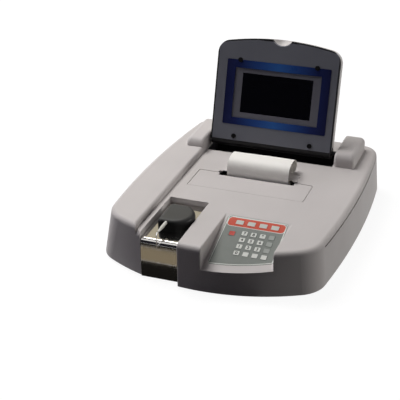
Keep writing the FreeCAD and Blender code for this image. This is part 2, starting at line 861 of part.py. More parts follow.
def hinge_trough():
    """The dark liner of the trough behind the deck."""
    inner = block("liner_inner", ("ridge_wall + liner_wall * 2", "block_right_place - liner_wall * 2"),
                  ("trough_near + liner_wall", "trough_far - liner_wall"),
                  ("trough_low + liner_wall", "deck_top + cut_overrun"))
    outer = block("liner_outer", ("ridge_wall + liner_wall", "block_right_place - liner_wall"),
                  ("trough_near", "trough_far"), ("trough_low", "deck_top - liner_wall / 2"))
    keep("hinge_trough", cut("liner", outer, inner))


def base_tray():
    """The floor pan with its standoffs, and the holes of the case screws."""
    level = block("pan_level", ("0 - case_width", "case_width"), ("0 - case_depth", "case_depth"),
                  ("foot_height", "tray_top"))
    pan = shared("pan", level, form("pan_form", "case_wall + tray_play", "foot_height", "ridge_top"))
    standoffs = []
    for x in ("board_left + standoff_radius * 2", "board_right - standoff_radius * 2"):
        for y in ("board_front + standoff_radius * 2", "board_rear - standoff_radius * 2"):
            standoffs.append(rod("board_standoff", "Z", (x, y), ("foot_height", "board_low"), "standoff_radius"))
    for x in ("supply_left + standoff_radius * 2", "supply_right - standoff_radius * 2"):
        for y in ("supply_front + standoff_radius * 2", "supply_rear - standoff_radius * 2"):
            standoffs.append(rod("supply_standoff", "Z", (x, y), ("foot_height", "supply_low"),
                                 "standoff_radius"))
    for x in ("bench_left + standoff_radius * 2", "bench_right - standoff_radius * 2"):
        for y in ("bench_front + standoff_radius * 2", "bench_rear - standoff_radius * 2"):
            standoffs.append(rod("bench_standoff", "Z", (x, y), ("foot_height", "bench_low"),
                                 "standoff_radius"))
    holes = case_post_holes("tray_hole", "screw_radius", "0", "deck_top / 2")
    opening = channel("tray_channel", "case_wall + tray_play")
    keep("base_tray", cut("tray", fused("tray_whole", pan, *standoffs), opening, *holes))


def rubber_feet():
    """Four rubber feet under the tray."""
    feet = []
    for x in ("0 - foot_x", "foot_x"):
        for y in ("foot_front", "foot_rear"):
            feet.append(rod("foot", "Z", (x, y), ("0", "foot_height"), "foot_radius"))
    keep("rubber_feet", grouped("feet", *feet))


def case_screws():
    """Four case screws from below, and four screws of the rear panel."""
    screws = []
    for x in ("0 - post_x", "post_x"):
        for y in ("post_front", "post_rear"):
            head = rod("screw_head", "Z", (x, y), ("foot_height - screw_head_height", "foot_height"),
                       "screw_head")
            shank = rod("screw_shank", "Z", (x, y), ("foot_height", "deck_top / 3"), "screw_radius")
            screws.append(fused("case_screw", head, shank))
    for x in ("rear_lip / 2 - rear_pocket_width / 2", "rear_pocket_width / 2 - rear_lip / 2"):
        for z in ("rear_pocket_low + rear_lip", "rear_pocket_high - rear_lip"):
            head = rod("panel_head", "Y", (x, z), ("panel_back", "panel_back + screw_head_height"),
                       "screw_head")
            screws.append(head)
    keep("case_screws", grouped("screws", *screws))


def splash_plate():
    """The polished plate: flat on the channel's floor, then bent down over the leaning front."""
    outline = (
        ("plate_rear", "channel_low"),
        ("plate_rear", "channel_low + plate_sheet"),
        ("plate_bend - plate_sheet", "channel_low + plate_sheet"),
        ("plate_toe - plate_sheet", "foot_height"),
        ("plate_toe", "foot_height"),
        ("plate_bend", "channel_low"),
    )
    bent = slab("plate_bent", "YZ", outline, ("plate_left", "plate_right"))
    low, high, bend = value("channel_low"), value("channel_low + plate_sheet"), value("plate_bend")
    sheet_thickness = value("plate_sheet")

    def inner_bend(edge, middle):
        return near(middle.y, bend) and flat_at(edge, low)

    def outer_bend(edge, middle):
        return near(middle.y, bend - sheet_thickness) and flat_at(edge, high)
    inside = rounded("plate_inside", bent, inner_bend, "plate_bend_round - plate_sheet")
    keep("splash_plate", rounded("plate", inside, outer_bend, "plate_bend_round"))


def hood_shape(name, inset, low, high):
    """The D shape of the hood, inset by an amount."""
    straight = block(name + "_straight", ("hood_left + (%s)" % inset, "hood_round_middle"),
                     ("hood_front + (%s)" % inset, "hood_middle + hood_radius - (%s)" % inset), (low, high))
    end = rod(name + "_end", "Z", ("hood_round_middle", "hood_middle"), (low, high),
              "hood_radius - (%s)" % inset)
    right = block(name + "_right", ("hood_round_middle", "hood_round_middle + hood_radius * 2"),
                  ("hood_front - hood_wall", "hood_middle + hood_radius + hood_wall"), (low, high))
    return fused(name, straight, shared(name + "_half", end, right))


def aspirator_hood():
    """The dark hood over the needle's holder, open underneath."""
    outer = hood_shape("hood_outer", "0", "hood_low", "hood_top")
    top, left = value("hood_top"), value("hood_left")

    def rim(edge, middle):
        return flat_at(edge, top) or (upright(edge) and near(middle.x, left))
    soft = rounded("hood_soft", outer, rim, "hood_edge")
    ceiling = value("hood_top - hood_wall")
    inner = rounded("hood_inner_soft", hood_shape("hood_inner", "hood_wall", "hood_low - hood_wall",
                                                  "hood_top - hood_wall"),
                    lambda edge, middle: flat_at(edge, ceiling), "hood_edge - hood_wall")
    boss = rod("hood_boss", "Y", ("sleeve_x", "sleeve_z"), ("hood_front", "hood_front + needle_inside"),
               "sleeve_radius + hood_wall / 4")
    room = cut("hood_room", inner, boss)
    hole = rod("hood_hole", "Y", ("sleeve_x", "sleeve_z"),
               ("hood_front - hood_wall", "hood_front + needle_inside * 2"), "needle_radius + shaft_play")
    seat = rod("hood_seat", "Y", ("sleeve_x", "sleeve_z"),
               ("hood_front - hood_wall", "hood_front + sleeve_inside"), "sleeve_radius + shaft_play")
    keep("aspirator_hood", cut("hood", soft, room, hole, seat))


def needle_sleeve():
    """The pale sleeve that stiffens the needle in front of the hood."""
    front = "hood_front + sleeve_inside - sleeve_length - sleeve_inside"
    straight = rod("sleeve_straight", "Y", ("sleeve_x", "sleeve_z"), (front, "hood_front + sleeve_inside"),
                   "sleeve_radius")
    taper = doc.addObject("Part::Cone", "sleeve_taper")
    turn_axis, turn_angle = TURN_TO["Y"]
    taper.Placement = FreeCAD.Placement(FreeCAD.Vector(), FreeCAD.Rotation(AXES[turn_axis], turn_angle))
    tie(taper, Radius1="sleeve_tip", Radius2="sleeve_radius * 2 - sleeve_tip / 2",
        Height="sleeve_length + sleeve_inside * 2")
    tie(taper, Base_x="sleeve_x", Base_y=front, Base_z="sleeve_z")
    outer = shared("sleeve_outer", straight, taper)
    bore = rod("sleeve_bore", "Y", ("sleeve_x", "sleeve_z"),
               (front + " - sleeve_inside", "hood_front + sleeve_inside * 2"), "needle_radius + shaft_play")
    keep("needle_sleeve", cut("sleeve", outer, bore))


def needle_tube(radius, extra):
    """A round bar along the needle's bent line."""
    x, z = value("sleeve_x"), value("sleeve_z")
    back = value("hood_front + needle_inside") + extra
    bend = value("needle_bend")
    front = value("hood_front - needle_forward")
    tip = value("sleeve_z - needle_drop") - extra
    start = FreeCAD.Vector(x, back, z)
    turn_start = FreeCAD.Vector(x, front + bend, z)
    turn_end = FreeCAD.Vector(x, front, z - bend)
    slant = bend * math.sqrt(0.5)
    turn_middle = FreeCAD.Vector(x, front + bend - slant, z - bend + slant)
    end = FreeCAD.Vector(x, front, tip)
    arc = Part.Arc(turn_start, turn_middle, turn_end)
    path = Part.Wire([Part.LineSegment(start, turn_start).toShape(), arc.toShape(),
                      Part.LineSegment(turn_end, end).toShape()])
    ring = Part.Wire(Part.Circle(start, AXES["Y"], radius).toShape())
    return path.makePipeShell([ring], True, False)


def aspirator_needle():
    """The steel needle: out of the hood, a small bend, then straight down."""
    needle = doc.addObject("Part::Feature", "needle")
    tube = needle_tube(value("needle_radius"), 0)
    needle.Shape = tube.cut(needle_tube(value("needle_bore"), value("needle_radius")))
    keep("aspirator_needle", needle)


def key_places():
    """Every key: its name, its column and row expressions, and its width."""
    places = []
    for column in range(4):
        places.append(("menu_key_%d" % (column + 1), "menu_key_column + menu_key_step * %d" % column,
                       "menu_key_row", "menu_key_width"))
    places.append(("stop_key", "stop_key_column", "stop_key_row", "key_width"))
    names = ("key_7", "key_8", "key_9", "key_yes", "key_4", "key_5", "key_6", "key_no",
             "key_1", "key_2", "key_3", "key_print", "key_0", "key_point", "key_clear", "key_enter")
    for number, name in enumerate(names):
        row, column = divmod(number, 4)
        places.append((name, "key_column + key_column_step * %d" % column,
                       "key_row + key_row_step * %d" % row, "key_width"))
    return places


def key_block(name, column, row, width, grow, low, high):
    """A key's block in the keypad's flat frame, grown by a play."""
    return block(name, ("%s - (%s) / 2 - (%s)" % (column, width, grow),
                        "%s + (%s) / 2 + (%s)" % (column, width, grow)),
                 ("0 - (%s) - key_length / 2 - (%s)" % (row, grow),
                  "0 - (%s) + key_length / 2 + (%s)" % (row, grow)), (low, high))


def keypad():
    """The membrane with a window for each key, the circuit under it, and the keys."""
    circuit = keypad_layer("circuit", "circuit_low", "circuit_top", "0")
    keep("keypad_circuit", circuit)
    membrane = keypad_layer("membrane", "circuit_top", "sheet_proud", "0")
    windows = []
    for name, column, row, width in key_places():
        window = key_block(name + "_window", column, row, width, "key_play", "circuit_top - key_lift",
                           "sheet_proud + key_lift")
        windows.append(on_keypad(window))
    keep("keypad_overlay", cut("overlay", membrane, *windows))
    for name, column, row, width in key_places():
        square = key_block(name + "_square", column, row, width, "0", "circuit_top + key_lift",
                           "sheet_proud + key_rise")
        cap = rounded(name + "_cap", square, lambda edge, middle: upright(edge), "key_corner")
        keep(name, on_keypad(cap))


def printer_cover():
    """The flush cover over the printer, with a round front edge and two trunnions."""
    plate = block("cover_plate", ("cover_left", "cover_right"), ("cover_front", "cover_rear"),
                  ("cover_low", "deck_top"))
    corners = rounded("cover_corners", plate, lambda edge, middle: upright(edge), "cover_corner")
    slot = block("cover_slot", ("slot_left", "slot_right"), ("slot_front", "cover_rear + cover_play"),
                 ("cover_low - cover_play", "deck_top + cover_play"))
    slotted = cut("cover_slotted", corners, slot)
    front = value("cover_front")
    round_edge = rounded("cover_round", slotted, lambda edge, middle: near(middle.y, front)
                         and near(edge.BoundBox.ZLength, 0), "cover_thickness / 2 - shaft_play")
    trunnions = [
        rod("trunnion_left", "X", ("cover_axis_y", "cover_axis_z"),
            ("cover_left - trunnion_reach + cover_play", "cover_left + cover_corner"), "trunnion_radius"),
        rod("trunnion_right", "X", ("cover_axis_y", "cover_axis_z"),
            ("cover_right - cover_corner", "cover_right + trunnion_reach - cover_play"), "trunnion_radius"),
    ]
    keep("printer_cover", fused("cover", round_edge, *trunnions))


def printer_frame():
    """The tub under the deck that holds the paper roll, the platen and the head."""
    outer = block("tub_outer", ("bay_left - tub_wall", "bay_right + tub_wall"),
                  ("bay_front - tub_wall", "bay_rear + tub_wall"), ("tub_floor", "rebate_low - case_wall"))
    inner = block("tub_inner", ("bay_left", "bay_right"), ("bay_front", "bay_rear"),
                  ("tub_floor + tub_wall", "deck_top"))
    bores = rod("platen_bore", "X", ("platen_place", "platen_height"),
                ("bay_left - tub_wall * 2", "bay_right + tub_wall * 2"), "platen_shaft + shaft_play")
    walls = []
    for side, low, high in (("left", "paper_left - roll_seat * 3 - tub_wall", "paper_left - roll_seat * 3"),
                            ("right", "paper_right + roll_seat * 3", "paper_right + roll_seat * 3 + tub_wall")):
        walls.append(block("cradle_" + side, (low, high), ("bay_front", "platen_place - platen_radius * 2"),
                           ("tub_floor", "roll_z")))
    keep("printer_frame", cut("tub", fused("tub_walls", cut("tub_shell", outer, inner), *walls), bores))


def toothed_disc(name, count, root, tip, width_span, place):
    """A spur gear along X with straight teeth."""
    gear = doc.addObject("Part::Feature", name)
    points = []
    for tooth in range(count):
        for share, radius in TOOTH_SHARES:
            angle = 2 * math.pi * (tooth + share) / count
            reach = root + (tip - root) * radius
            points.append(FreeCAD.Vector(width_span[0], reach * math.cos(angle), reach * math.sin(angle)))
    face = Part.Face(Part.makePolygon(points + points[:1]))
    solid = face.extrude(FreeCAD.Vector(width_span[1] - width_span[0], 0, 0))
    solid.translate(FreeCAD.Vector(0, place[0], place[1]))
    gear.Shape = solid
    return gear


# A tooth's outline: how far round its pitch, and how far from its root to its tip
TOOTH_SHARES = ((0.0, 0), (0.3, 0), (0.42, 1), (0.75, 1), (0.87, 0))


def platen_roller():
    """The rubber platen on its shaft, with its drive gear."""
    roller = rod("platen_rubber", "X", ("platen_place", "platen_height"), ("paper_left", "paper_right"),
                 "platen_radius")
    shaft = rod("platen_axle", "X", ("platen_place", "platen_height"),
                ("bay_left - tub_wall", "bay_right + tub_wall"), "platen_shaft")
    start = value("bay_right - tub_wall - platen_gear_width")
    gear = toothed_disc("platen_teeth", int(value("gear_teeth")), value("platen_gear - gear_tooth"),
                        value("platen_gear"), (start, start + value("platen_gear_width")),
                        (value("platen_place"), value("platen_height")))
    keep("platen_roller", fused("platen", roller, shaft, gear))


def print_head():
    """The thermal head behind the paper, on its heat sink."""
    front = "paper_place + paper_thickness + head_gap"
    bar = block("head_bar", ("paper_left", "paper_right"), (front, front + " + head_thickness"),
                ("platen_height - head_height / 2", "platen_height + head_height / 2"))
    stem = block("head_stem", ("paper_middle - head_height", "paper_middle + head_height"),
                 (front + " + head_thickness", "bay_rear"),
                 ("platen_height - head_height / 2", "platen_height"))
    keep("print_head", fused("head", bar, stem))


def tear_bar():
    """The bright tear bar at the rear of the paper slot, with a foot on the tub's wall."""
    blade = block("bar_blade", ("slot_left + tub_wall * 2", "slot_right - tub_wall * 2"),
                  ("bar_front", "bar_front + bar_thickness"), ("deck_top - bar_depth / 2", "deck_top + bar_rise"))
    foot = block("bar_foot", ("slot_left + tub_wall * 2", "slot_right - tub_wall * 2"),
                 ("bar_front", "bay_rear"), ("deck_top - bar_depth / 2", "deck_top - bar_depth / 2 + bar_thickness"))
    keep("tear_bar", fused("bar", blade, foot))


def paper_roll():
    """The paper roll, lying in the tub."""
    outer = rod("roll_outer", "X", ("roll_place", "roll_z"), ("paper_left", "paper_right"), "roll_radius")
    core = rod("roll_core_hole", "X", ("roll_place", "roll_z"),
               ("paper_left - roll_core", "paper_right + roll_core"), "roll_core")
    keep("paper_roll", cut("roll", outer, core))


def paper_line(offset):
    """The edge of the paper strip seen from the side, moved inwards by an offset."""
    foot, top = value("paper_foot"), value("deck_top + paper_height") - offset
    front = value("paper_place") + offset
    reach = value("paper_reach") - 2 * offset
    shoulder = top - (value("paper_height") - offset) * SHOULDER_SHARE
    curl = value("curl_radius") - offset
    rear = front + reach
    lines = [Part.LineSegment(FreeCAD.Vector(0, front, foot), FreeCAD.Vector(0, front, shoulder)).toShape()]
    crest = FreeCAD.Vector(0, front + reach * CREST_SHARE, top)
    rise = Part.Arc(FreeCAD.Vector(0, front, shoulder),
                    FreeCAD.Vector(0, front + reach * RISE_SHARES[0], shoulder + (top - shoulder) * RISE_SHARES[1]),
                    crest)
    falling, fallen, tucking, tucked = [FreeCAD.Vector(0, rear - curl * back, top - curl * down)
                                        for back, down in CURL_SHARES]
    fall = Part.Arc(crest, falling, fallen)
    tuck = Part.Arc(fallen, tucking, tucked)
    lines += [rise.toShape(), fall.toShape(), tuck.toShape()]
    return lines


# The strip's crest and the middle of its rise, as shares of its reach and height
SHOULDER_SHARE = 0.8
CREST_SHARE = 0.5
RISE_SHARES = (0.16, 0.78)
# The curled end: how far in front of the strip's rearmost line and below its crest, as shares of the curl
CURL_SHARES = ((0.35, 0.42), (0, 1.2), (0.4, 1.8), (1.3, 1.9))


def paper_strip():
    """The printed strip: up out of the slot, over, and curled under at its end."""
    thickness = value("paper_thickness")
    outside = Part.Wire(paper_line(0))
    inside = Part.Wire(paper_line(thickness))
    ends = [
        Part.LineSegment(outside.Vertexes[0].Point, inside.Vertexes[0].Point).toShape(),
        Part.LineSegment(outside.Vertexes[-1].Point, inside.Vertexes[-1].Point).toShape(),
    ]
    loop = Part.Wire(Part.__sortEdges__(outside.Edges + inside.Edges + ends))
    strip = doc.addObject("Part::Feature", "strip")
    solid = Part.Face(loop).extrude(FreeCAD.Vector(value("paper_width"), 0, 0))
    solid.translate(FreeCAD.Vector(value("paper_left"), 0, 0))
    strip.Shape = solid
    keep("paper_strip", strip)


def lid_blank(name, low, high, inset):
    """The lid's outline in its own flat frame: X across, Y up the lid from the hinge, Z to its front."""
    flat = block(name + "_flat", ("lid_left + (%s)" % inset, "lid_right - (%s)" % inset),
                 (inset, "lid_length - (%s)" % inset), (low, high))
    arch = rod(name + "_arch", "Z", ("lid_middle", "lid_length - lid_arch"), (low, high),
               "lid_arch - (%s)" % inset)
    square = shared(name + "_square", flat, arch)
    half = value("lid_length / 2")

    def top_corner(edge, middle):
        return upright(edge) and middle.y > half
    return rounded(name, square, top_corner, "lid_corner - (%s)" % inset)


def lid_barrel_tool(name):
    """The room that the hinge barrel takes out of the lid's parts."""
    return rod(name, "X", ("0", "0"), ("lid_left - cut_overrun", "lid_right + cut_overrun"), "barrel_radius")


def on_lid(thing):
    """Stand a shape from the lid's flat frame up on the hinge at the lid's resting tilt."""
    return turned(grouped(thing.Name + "_stood", thing), "X", "90 - lid_tilt", y="hinge_place", z="hinge_z")


def finger_scoop(name, grow):
    """A ball that bites a scoop for the finger out of the lid's front and upper rim."""
    half, depth = value("notch_width / 2"), value("notch_depth")
    front_radius = (half ** 2 + depth ** 2) / (depth + depth)
    ball = doc.addObject("Part::Sphere", name)
    ball.Radius = math.hypot(front_radius, value("notch_forward")) + value(grow)
    ball.Placement.Base = FreeCAD.Vector(value("notch_middle"), value("lid_length") - depth + front_radius,
                                         value("lid_front + notch_forward"))
    return ball


def lid_back_shell():
    """The pale rear shell of the lid, open towards the bezel."""
    blank = lid_blank("shell_blank", "lid_back", "bezel_back", "0")
    back = value("lid_back")
    soft = rounded("shell_soft", blank, lambda edge, middle: flat_at(edge, back), "lid_back_round")
    room = cut("shell_hollow", lid_blank("shell_room", "lid_back + lid_wall", "bezel_back + lid_wall", "lid_wall"),
               finger_scoop("scoop_wall", "lid_wall"))
    keep("lid_back_shell", on_lid(cut("shell", soft, room, finger_scoop("shell_scoop", "0"),
                                      lid_barrel_tool("shell_barrel"))))


def lid_bezel():
    """The dark front plate of the lid, with its window, its finger notch and the bed of the frame."""
    blank = lid_blank("bezel_blank", "bezel_back", "lid_front", "0")
    front = value("lid_front")
    soft = rounded("bezel_soft", blank, lambda edge, middle: flat_at(edge, front), "bezel_round")
    bed = cut("bezel_bed", display_blank("bezel_bed_whole", "lid_front - display_sheet / 2", "lid_front + lid_wall",
                                         "sheet_play"), *upper_cap_rods("bezel_seat", "0"))
    window = window_blank("bezel_window", "bezel_back - lid_wall", "lid_front + lid_wall", "0")
    cut_bezel = cut("bezel", soft, finger_scoop("bezel_scoop", "0"), bed, window, lid_barrel_tool("bezel_barrel"))
    keep("lid_bezel", on_lid(cut_bezel))


def display_blank(name, low, high, play):
    """The outline of the blue frame."""
    flat = block(name + "_square", ("display_middle - display_width / 2 - (%s)" % play,
                                    "display_middle + display_width / 2 + (%s)" % play),
                 ("display_low - (%s)" % play, "display_high + (%s)" % play), (low, high))
    return rounded(name, flat, lambda edge, middle: upright(edge), "display_corner")


def window_blank(name, low, high, play):
    """The outline of the window in the blue frame."""
    flat = block(name + "_square", ("display_middle - window_width / 2 - (%s)" % play,
                                    "display_middle + window_width / 2 + (%s)" % play),
                 ("window_low - (%s)" % play, "window_high + (%s)" % play), (low, high))
    return rounded(name, flat, lambda edge, middle: upright(edge), "window_corner")


CAP_COLUMNS = ("display_left + cap_left_inset", "display_right - cap_right_inset")


def upper_cap_rods(name, play):
    """Where the two upper caps stand on the edge of the blue frame."""
    return [rod("%s_%d" % (name, number), "Z", (column, "cap_high"), ("lid_front - lid_wall", "lid_front + lid_wall"),
                "cap_radius + (%s)" % play) for number, column in enumerate(CAP_COLUMNS)]


def display_frame():
    """The blue frame around the display, a thin sheet let into the bezel."""
    outer = display_blank("frame_outer", "lid_front - display_sheet / 2", "lid_front + display_sheet / 2", "0")
    inner = window_blank("frame_inner", "lid_front - lid_wall", "lid_front + lid_wall", "0")
    keep("display_frame", on_lid(cut("frame", outer, inner, *upper_cap_rods("frame_bite", "sheet_play"))))


def lcd_module():
    """The display module: a grey frame around a sunken screen."""
    top = "lid_front - display_sheet"
    solid = block("module_solid", ("display_middle - window_width / 2 + sheet_play",
                                   "display_middle + window_width / 2 - sheet_play"),
                  ("window_low + sheet_play", "window_high - sheet_play"), (top + " - module_thickness", top))
    soft = rounded("module_soft", solid, lambda edge, middle: upright(edge), "window_corner")
    recess = block("screen_recess_block", ("display_middle - screen_width / 2", "display_middle + screen_width / 2"),
                   ("screen_low", "screen_high"), (top + " - screen_recess", "lid_front + lid_wall"))
    keep("lcd_module", on_lid(cut("module", soft, recess)))


def lid_caps():
    """Four dark caps over the bezel's screws, on which the closed lid rests."""
    caps = []
    for x in CAP_COLUMNS:
        for y in ("cap_low", "cap_high"):
            cap = rod("cap_square", "Z", (x, y), ("lid_front", "lid_front + cap_rise"), "cap_radius")
            rim = value("lid_front + cap_rise")
            caps.append(rounded("cap", cap, lambda edge, middle: flat_at(edge, rim), "cap_rise / 2"))
    keep("lid_caps", on_lid(grouped("caps", *caps)))


def lid_barrel():
    """The dark barrel along the hinge, turned down to a pin at each end."""
    barrel = rod("barrel_body", "X", ("hinge_place", "hinge_z"), ("barrel_left", "barrel_right"), "barrel_radius")
    pin = rod("barrel_pins", "X", ("hinge_place", "hinge_z"),
              ("barrel_left - pin_reach", "barrel_right + pin_reach"), "pin_radius")
    keep("lid_barrel", fused("barrel", barrel, pin))


def optics_bench():
    """The aluminium bench with the uprights of the motor, the lamp and the cell."""
    plate = block("bench_plate", ("bench_left", "bench_right"), ("bench_front", "bench_rear"),
                  ("bench_low", "bench_top"))
    motor_stand = block("motor_stand", ("beam_x - wheel_motor_radius", "beam_x + wheel_motor_radius"),
                        ("wheel_front - wheel_gap - wheel_motor_length", "wheel_front - wheel_gap"),
                        ("bench_low", "wheel_z - wheel_motor_radius / 2"))
    motor_seat = rod("motor_seat", "Y", ("beam_x", "wheel_z"),
                     ("wheel_front - wheel_gap - wheel_motor_length", "wheel_front - wheel_gap"),
                     "wheel_motor_radius")
    lamp_stand = block("lamp_stand", ("beam_x - lamp_width / 2", "beam_x + lamp_width / 2"),
                       ("lamp_front", "lamp_rear"), ("bench_low", "beam_height - lamp_width / 2"))
    cell_stand = block("cell_stand", ("beam_x - cell_width / 2", "beam_x + cell_width / 2"),
                       ("cell_front", "cell_rear"), ("bench_low", "beam_height - cell_width / 2"))
    keep("optics_bench", fused("bench", plate, cut("motor_cradle", motor_stand, motor_seat), lamp_stand, cell_stand))


def lamp_housing():
    """The finned lamp housing with its lens tube."""
    solid = block("lamp_solid", ("beam_x - lamp_width / 2", "beam_x + lamp_width / 2"),
                  ("lamp_front", "lamp_rear"), ("beam_height - lamp_width / 2", "beam_height + lamp_width / 2"))
    grooves = []
    for fin in range(int(value("lamp_fins"))):
        start = "lamp_front + (lamp_rear - lamp_front) * (%d + 1 / 2) / lamp_fins" % fin
        grooves.append(block("fin_groove", ("beam_x - lamp_width", "beam_x + lamp_width"),
                             (start, start + " + (lamp_rear - lamp_front) / lamp_fins / 2"),
                             ("beam_height + lamp_width / 3", "beam_height + lamp_width")))
    tube = rod("lens_tube", "Y", ("beam_x", "beam_height"), ("lamp_front - lens_length", "lamp_front"),
               "lens_radius")
    bore = rod("lens_bore", "Y", ("beam_x", "beam_height"), ("lamp_front - lens_length * 2", "lamp_front"),
               "lens_radius - tub_wall")
    keep("lamp_housing", fused("lamp", cut("lamp_finned", solid, *grooves), cut("lens", tube, bore)))


def filter_wheel():
    """The wheel of filters on the motor's shaft."""
    disc = rod("wheel_disc", "Y", ("beam_x", "wheel_z"), ("wheel_front", "wheel_rear"), "wheel_radius")
    holes = []
    for number in range(int(value("filter_count"))):
        angle = "360 / filter_count * %d" % number
        middle = ("beam_x + filter_circle * sin(%s)" % angle, "wheel_z + filter_circle * cos(%s)" % angle)
        holes.append(rod("filter_hole", "Y", middle, ("wheel_front - wheel_width", "wheel_place"),
                         "filter_radius"))
    shaft = rod("wheel_axle", "Y", ("beam_x", "wheel_z"),
                ("wheel_front - wheel_gap - wheel_axle_inside", "wheel_rear"), "wheel_shaft")
    keep("filter_wheel", fused("wheel", cut("wheel_holed", disc, *holes), shaft))


def filter_motor():
    """The small stepper motor that turns the filter wheel."""
    can = rod("motor_can", "Y", ("beam_x", "wheel_z"),
              ("wheel_front - wheel_gap - wheel_motor_length", "wheel_front - wheel_gap"), "wheel_motor_radius")
    bore = rod("motor_bore", "Y", ("beam_x", "wheel_z"),
               ("wheel_front - wheel_gap - wheel_axle_inside - shaft_end_gap", "wheel_front"),
               "wheel_shaft + shaft_play")
    keep("filter_motor", cut("motor", can, bore))


def flow_cell():
    """The flow cell block with its light path, and the detector behind it."""
    solid = block("cell_solid", ("beam_x - cell_width / 2", "beam_x + cell_width / 2"),
                  ("cell_front", "cell_rear"), ("beam_height - cell_width / 2", "beam_height + cell_width / 2"))
    path = rod("cell_path", "Y", ("beam_x", "beam_height"), ("(cell_front + cell_rear) / 2", "cell_rear + tub_wall"),
               "lens_radius / 2")
    detector = rod("detector", "Y", ("beam_x", "beam_height"), ("cell_front - tub_wall * 2", "cell_front"),
                   "lens_radius")
    keep("flow_cell", fused("cell", cut("cell_block", solid, path), detector))


def pump_body():
    """The pump's body: a horseshoe block for the rotor, on the end of its motor."""
    solid = block("pump_block", ("pump_left", "pump_right"), ("pump_front", "pump_front + pump_length"),
                  ("tray_top", "pump_z + pump_length / 2"))
    room = rod("pump_room", "X", ("pump_y", "pump_z"),
               ("pump_right - rotor_width - rotor_gap * 2", "pump_right + rotor_gap"), "pump_bore")
    motor = rod("pump_motor", "X", ("pump_y", "pump_z"), ("pump_left - pump_motor_length", "pump_left"),
                "pump_motor_radius")
    bore = rod("pump_shaft_bore", "X", ("pump_y", "pump_z"),
               ("pump_left - pump_axle_inside - shaft_end_gap", "pump_right"), "pump_shaft + shaft_play")
    keep("pump_body", cut("pump", fused("pump_whole", solid, motor), room, bore))


def pump_rotor():
    """The rotor with its rollers on the motor's shaft."""
    span = ("pump_right - rotor_width - rotor_gap", "pump_right - rotor_gap")
    plate = rod("rotor_plate", "X", ("pump_y", "pump_z"), (span[0], span[0] + " + rotor_width / 4"),
                "rotor_radius")
    rollers = []
    for number in range(int(value("roller_count"))):
        angle = "360 / roller_count * %d" % number
        middle = ("pump_y + roller_circle * sin(%s)" % angle, "pump_z + roller_circle * cos(%s)" % angle)
        rollers.append(rod("roller", "X", middle, span, "roller_radius"))
    shaft = rod("rotor_axle", "X", ("pump_y", "pump_z"),
                ("pump_left - pump_axle_inside", span[1]), "pump_shaft")
    keep("pump_rotor", fused("rotor", plate, shaft, *rollers))


def power_supply():
    """The switched power supply in its case, with a row of terminals."""
    case = block("supply_case", ("supply_left", "supply_right"), ("supply_front", "supply_rear"),
                 ("supply_low", "supply_top"))
    step = block("supply_step", ("supply_left - tub_wall", "supply_right + tub_wall"),
                 ("supply_rear - supply_height / 3", "supply_rear + tub_wall"),
                 ("supply_low + supply_height / 3", "supply_top + tub_wall"))
    keep("power_supply", cut("supply", case, step))


def main_board():
    """The main board with its larger parts."""
    board = block("board_sheet_plate", ("board_left", "board_right"), ("board_front", "board_rear"),
                  ("board_low", "board_low + board_sheet"))
    top = "board_low + board_sheet"
    width, depth = "(board_right - board_left)", "(board_rear - board_front)"
    parts = []
    for x, y, wide, deep, tall in BOARD_PART_SHARES:
        parts.append(block("board_part",
                           ("board_left + %s * %s" % (width, x), "board_left + %s * %s" % (width, x + wide)),
                           ("board_front + %s * %s" % (depth, y), "board_front + %s * %s" % (depth, y + deep)),
                           (top, top + " + (tub_floor - %s) * %s" % ("board_low - board_sheet", tall))))
    keep("main_board", fused("board", board, *parts))


# The board's parts: place, width and depth as shares of the board, height as a share of the room above it
BOARD_PART_SHARES = (
    (0.1, 0.1, 0.22, 0.16, 0.15), (0.45, 0.12, 0.3, 0.1, 0.2), (0.12, 0.4, 0.12, 0.1, 0.4),
    (0.4, 0.42, 0.26, 0.2, 0.18), (0.76, 0.4, 0.1, 0.3, 0.55), (0.15, 0.7, 0.5, 0.06, 0.45),
    (0.15, 0.84, 0.3, 0.06, 0.45),
)


def rear_panel():
    """The sheet in the rear pocket with its cut-outs and the fan's slots."""
    plate = block("panel_plate", ("sheet_play - rear_pocket_width / 2", "rear_pocket_width / 2 - sheet_play"),
                  ("rear_pocket_place", "panel_back"),
                  ("rear_pocket_low + sheet_play", "rear_pocket_high - sheet_play"))
    through = ("pocket_floor", "panel_back + case_wall")
    cuts = []
    slots = int(value("vent_slots"))
    for number in range(slots):
        middle = "fan_z + vent_step * (%d - (vent_slots - 1) / 2)" % number
        cuts.append(block("vent", ("fan_middle - vent_width / 2", "fan_middle + vent_width / 2"), through,
                          (middle + " - vent_height / 2", middle + " + vent_height / 2")))
    cuts.append(block("entry_cut", ("entry_left", "entry_right"), through, ("entry_low", "entry_high")))
    cuts.append(block("serial_cut", ("port_serial - port_serial_width / 2", "port_serial + port_serial_width / 2"),
                      through, ("fan_z - port_serial_height / 2", "fan_z + port_serial_height / 2")))
    cuts.append(rod("keyboard_cut", "Y", ("port_keyboard", "fan_z"), through, "port_keyboard_radius"))
    cuts.append(rod("waste_cut", "Y", ("waste_place", "fan_z"), through, "waste_radius"))
    keep("rear_panel", cut("panel", plate, *cuts))


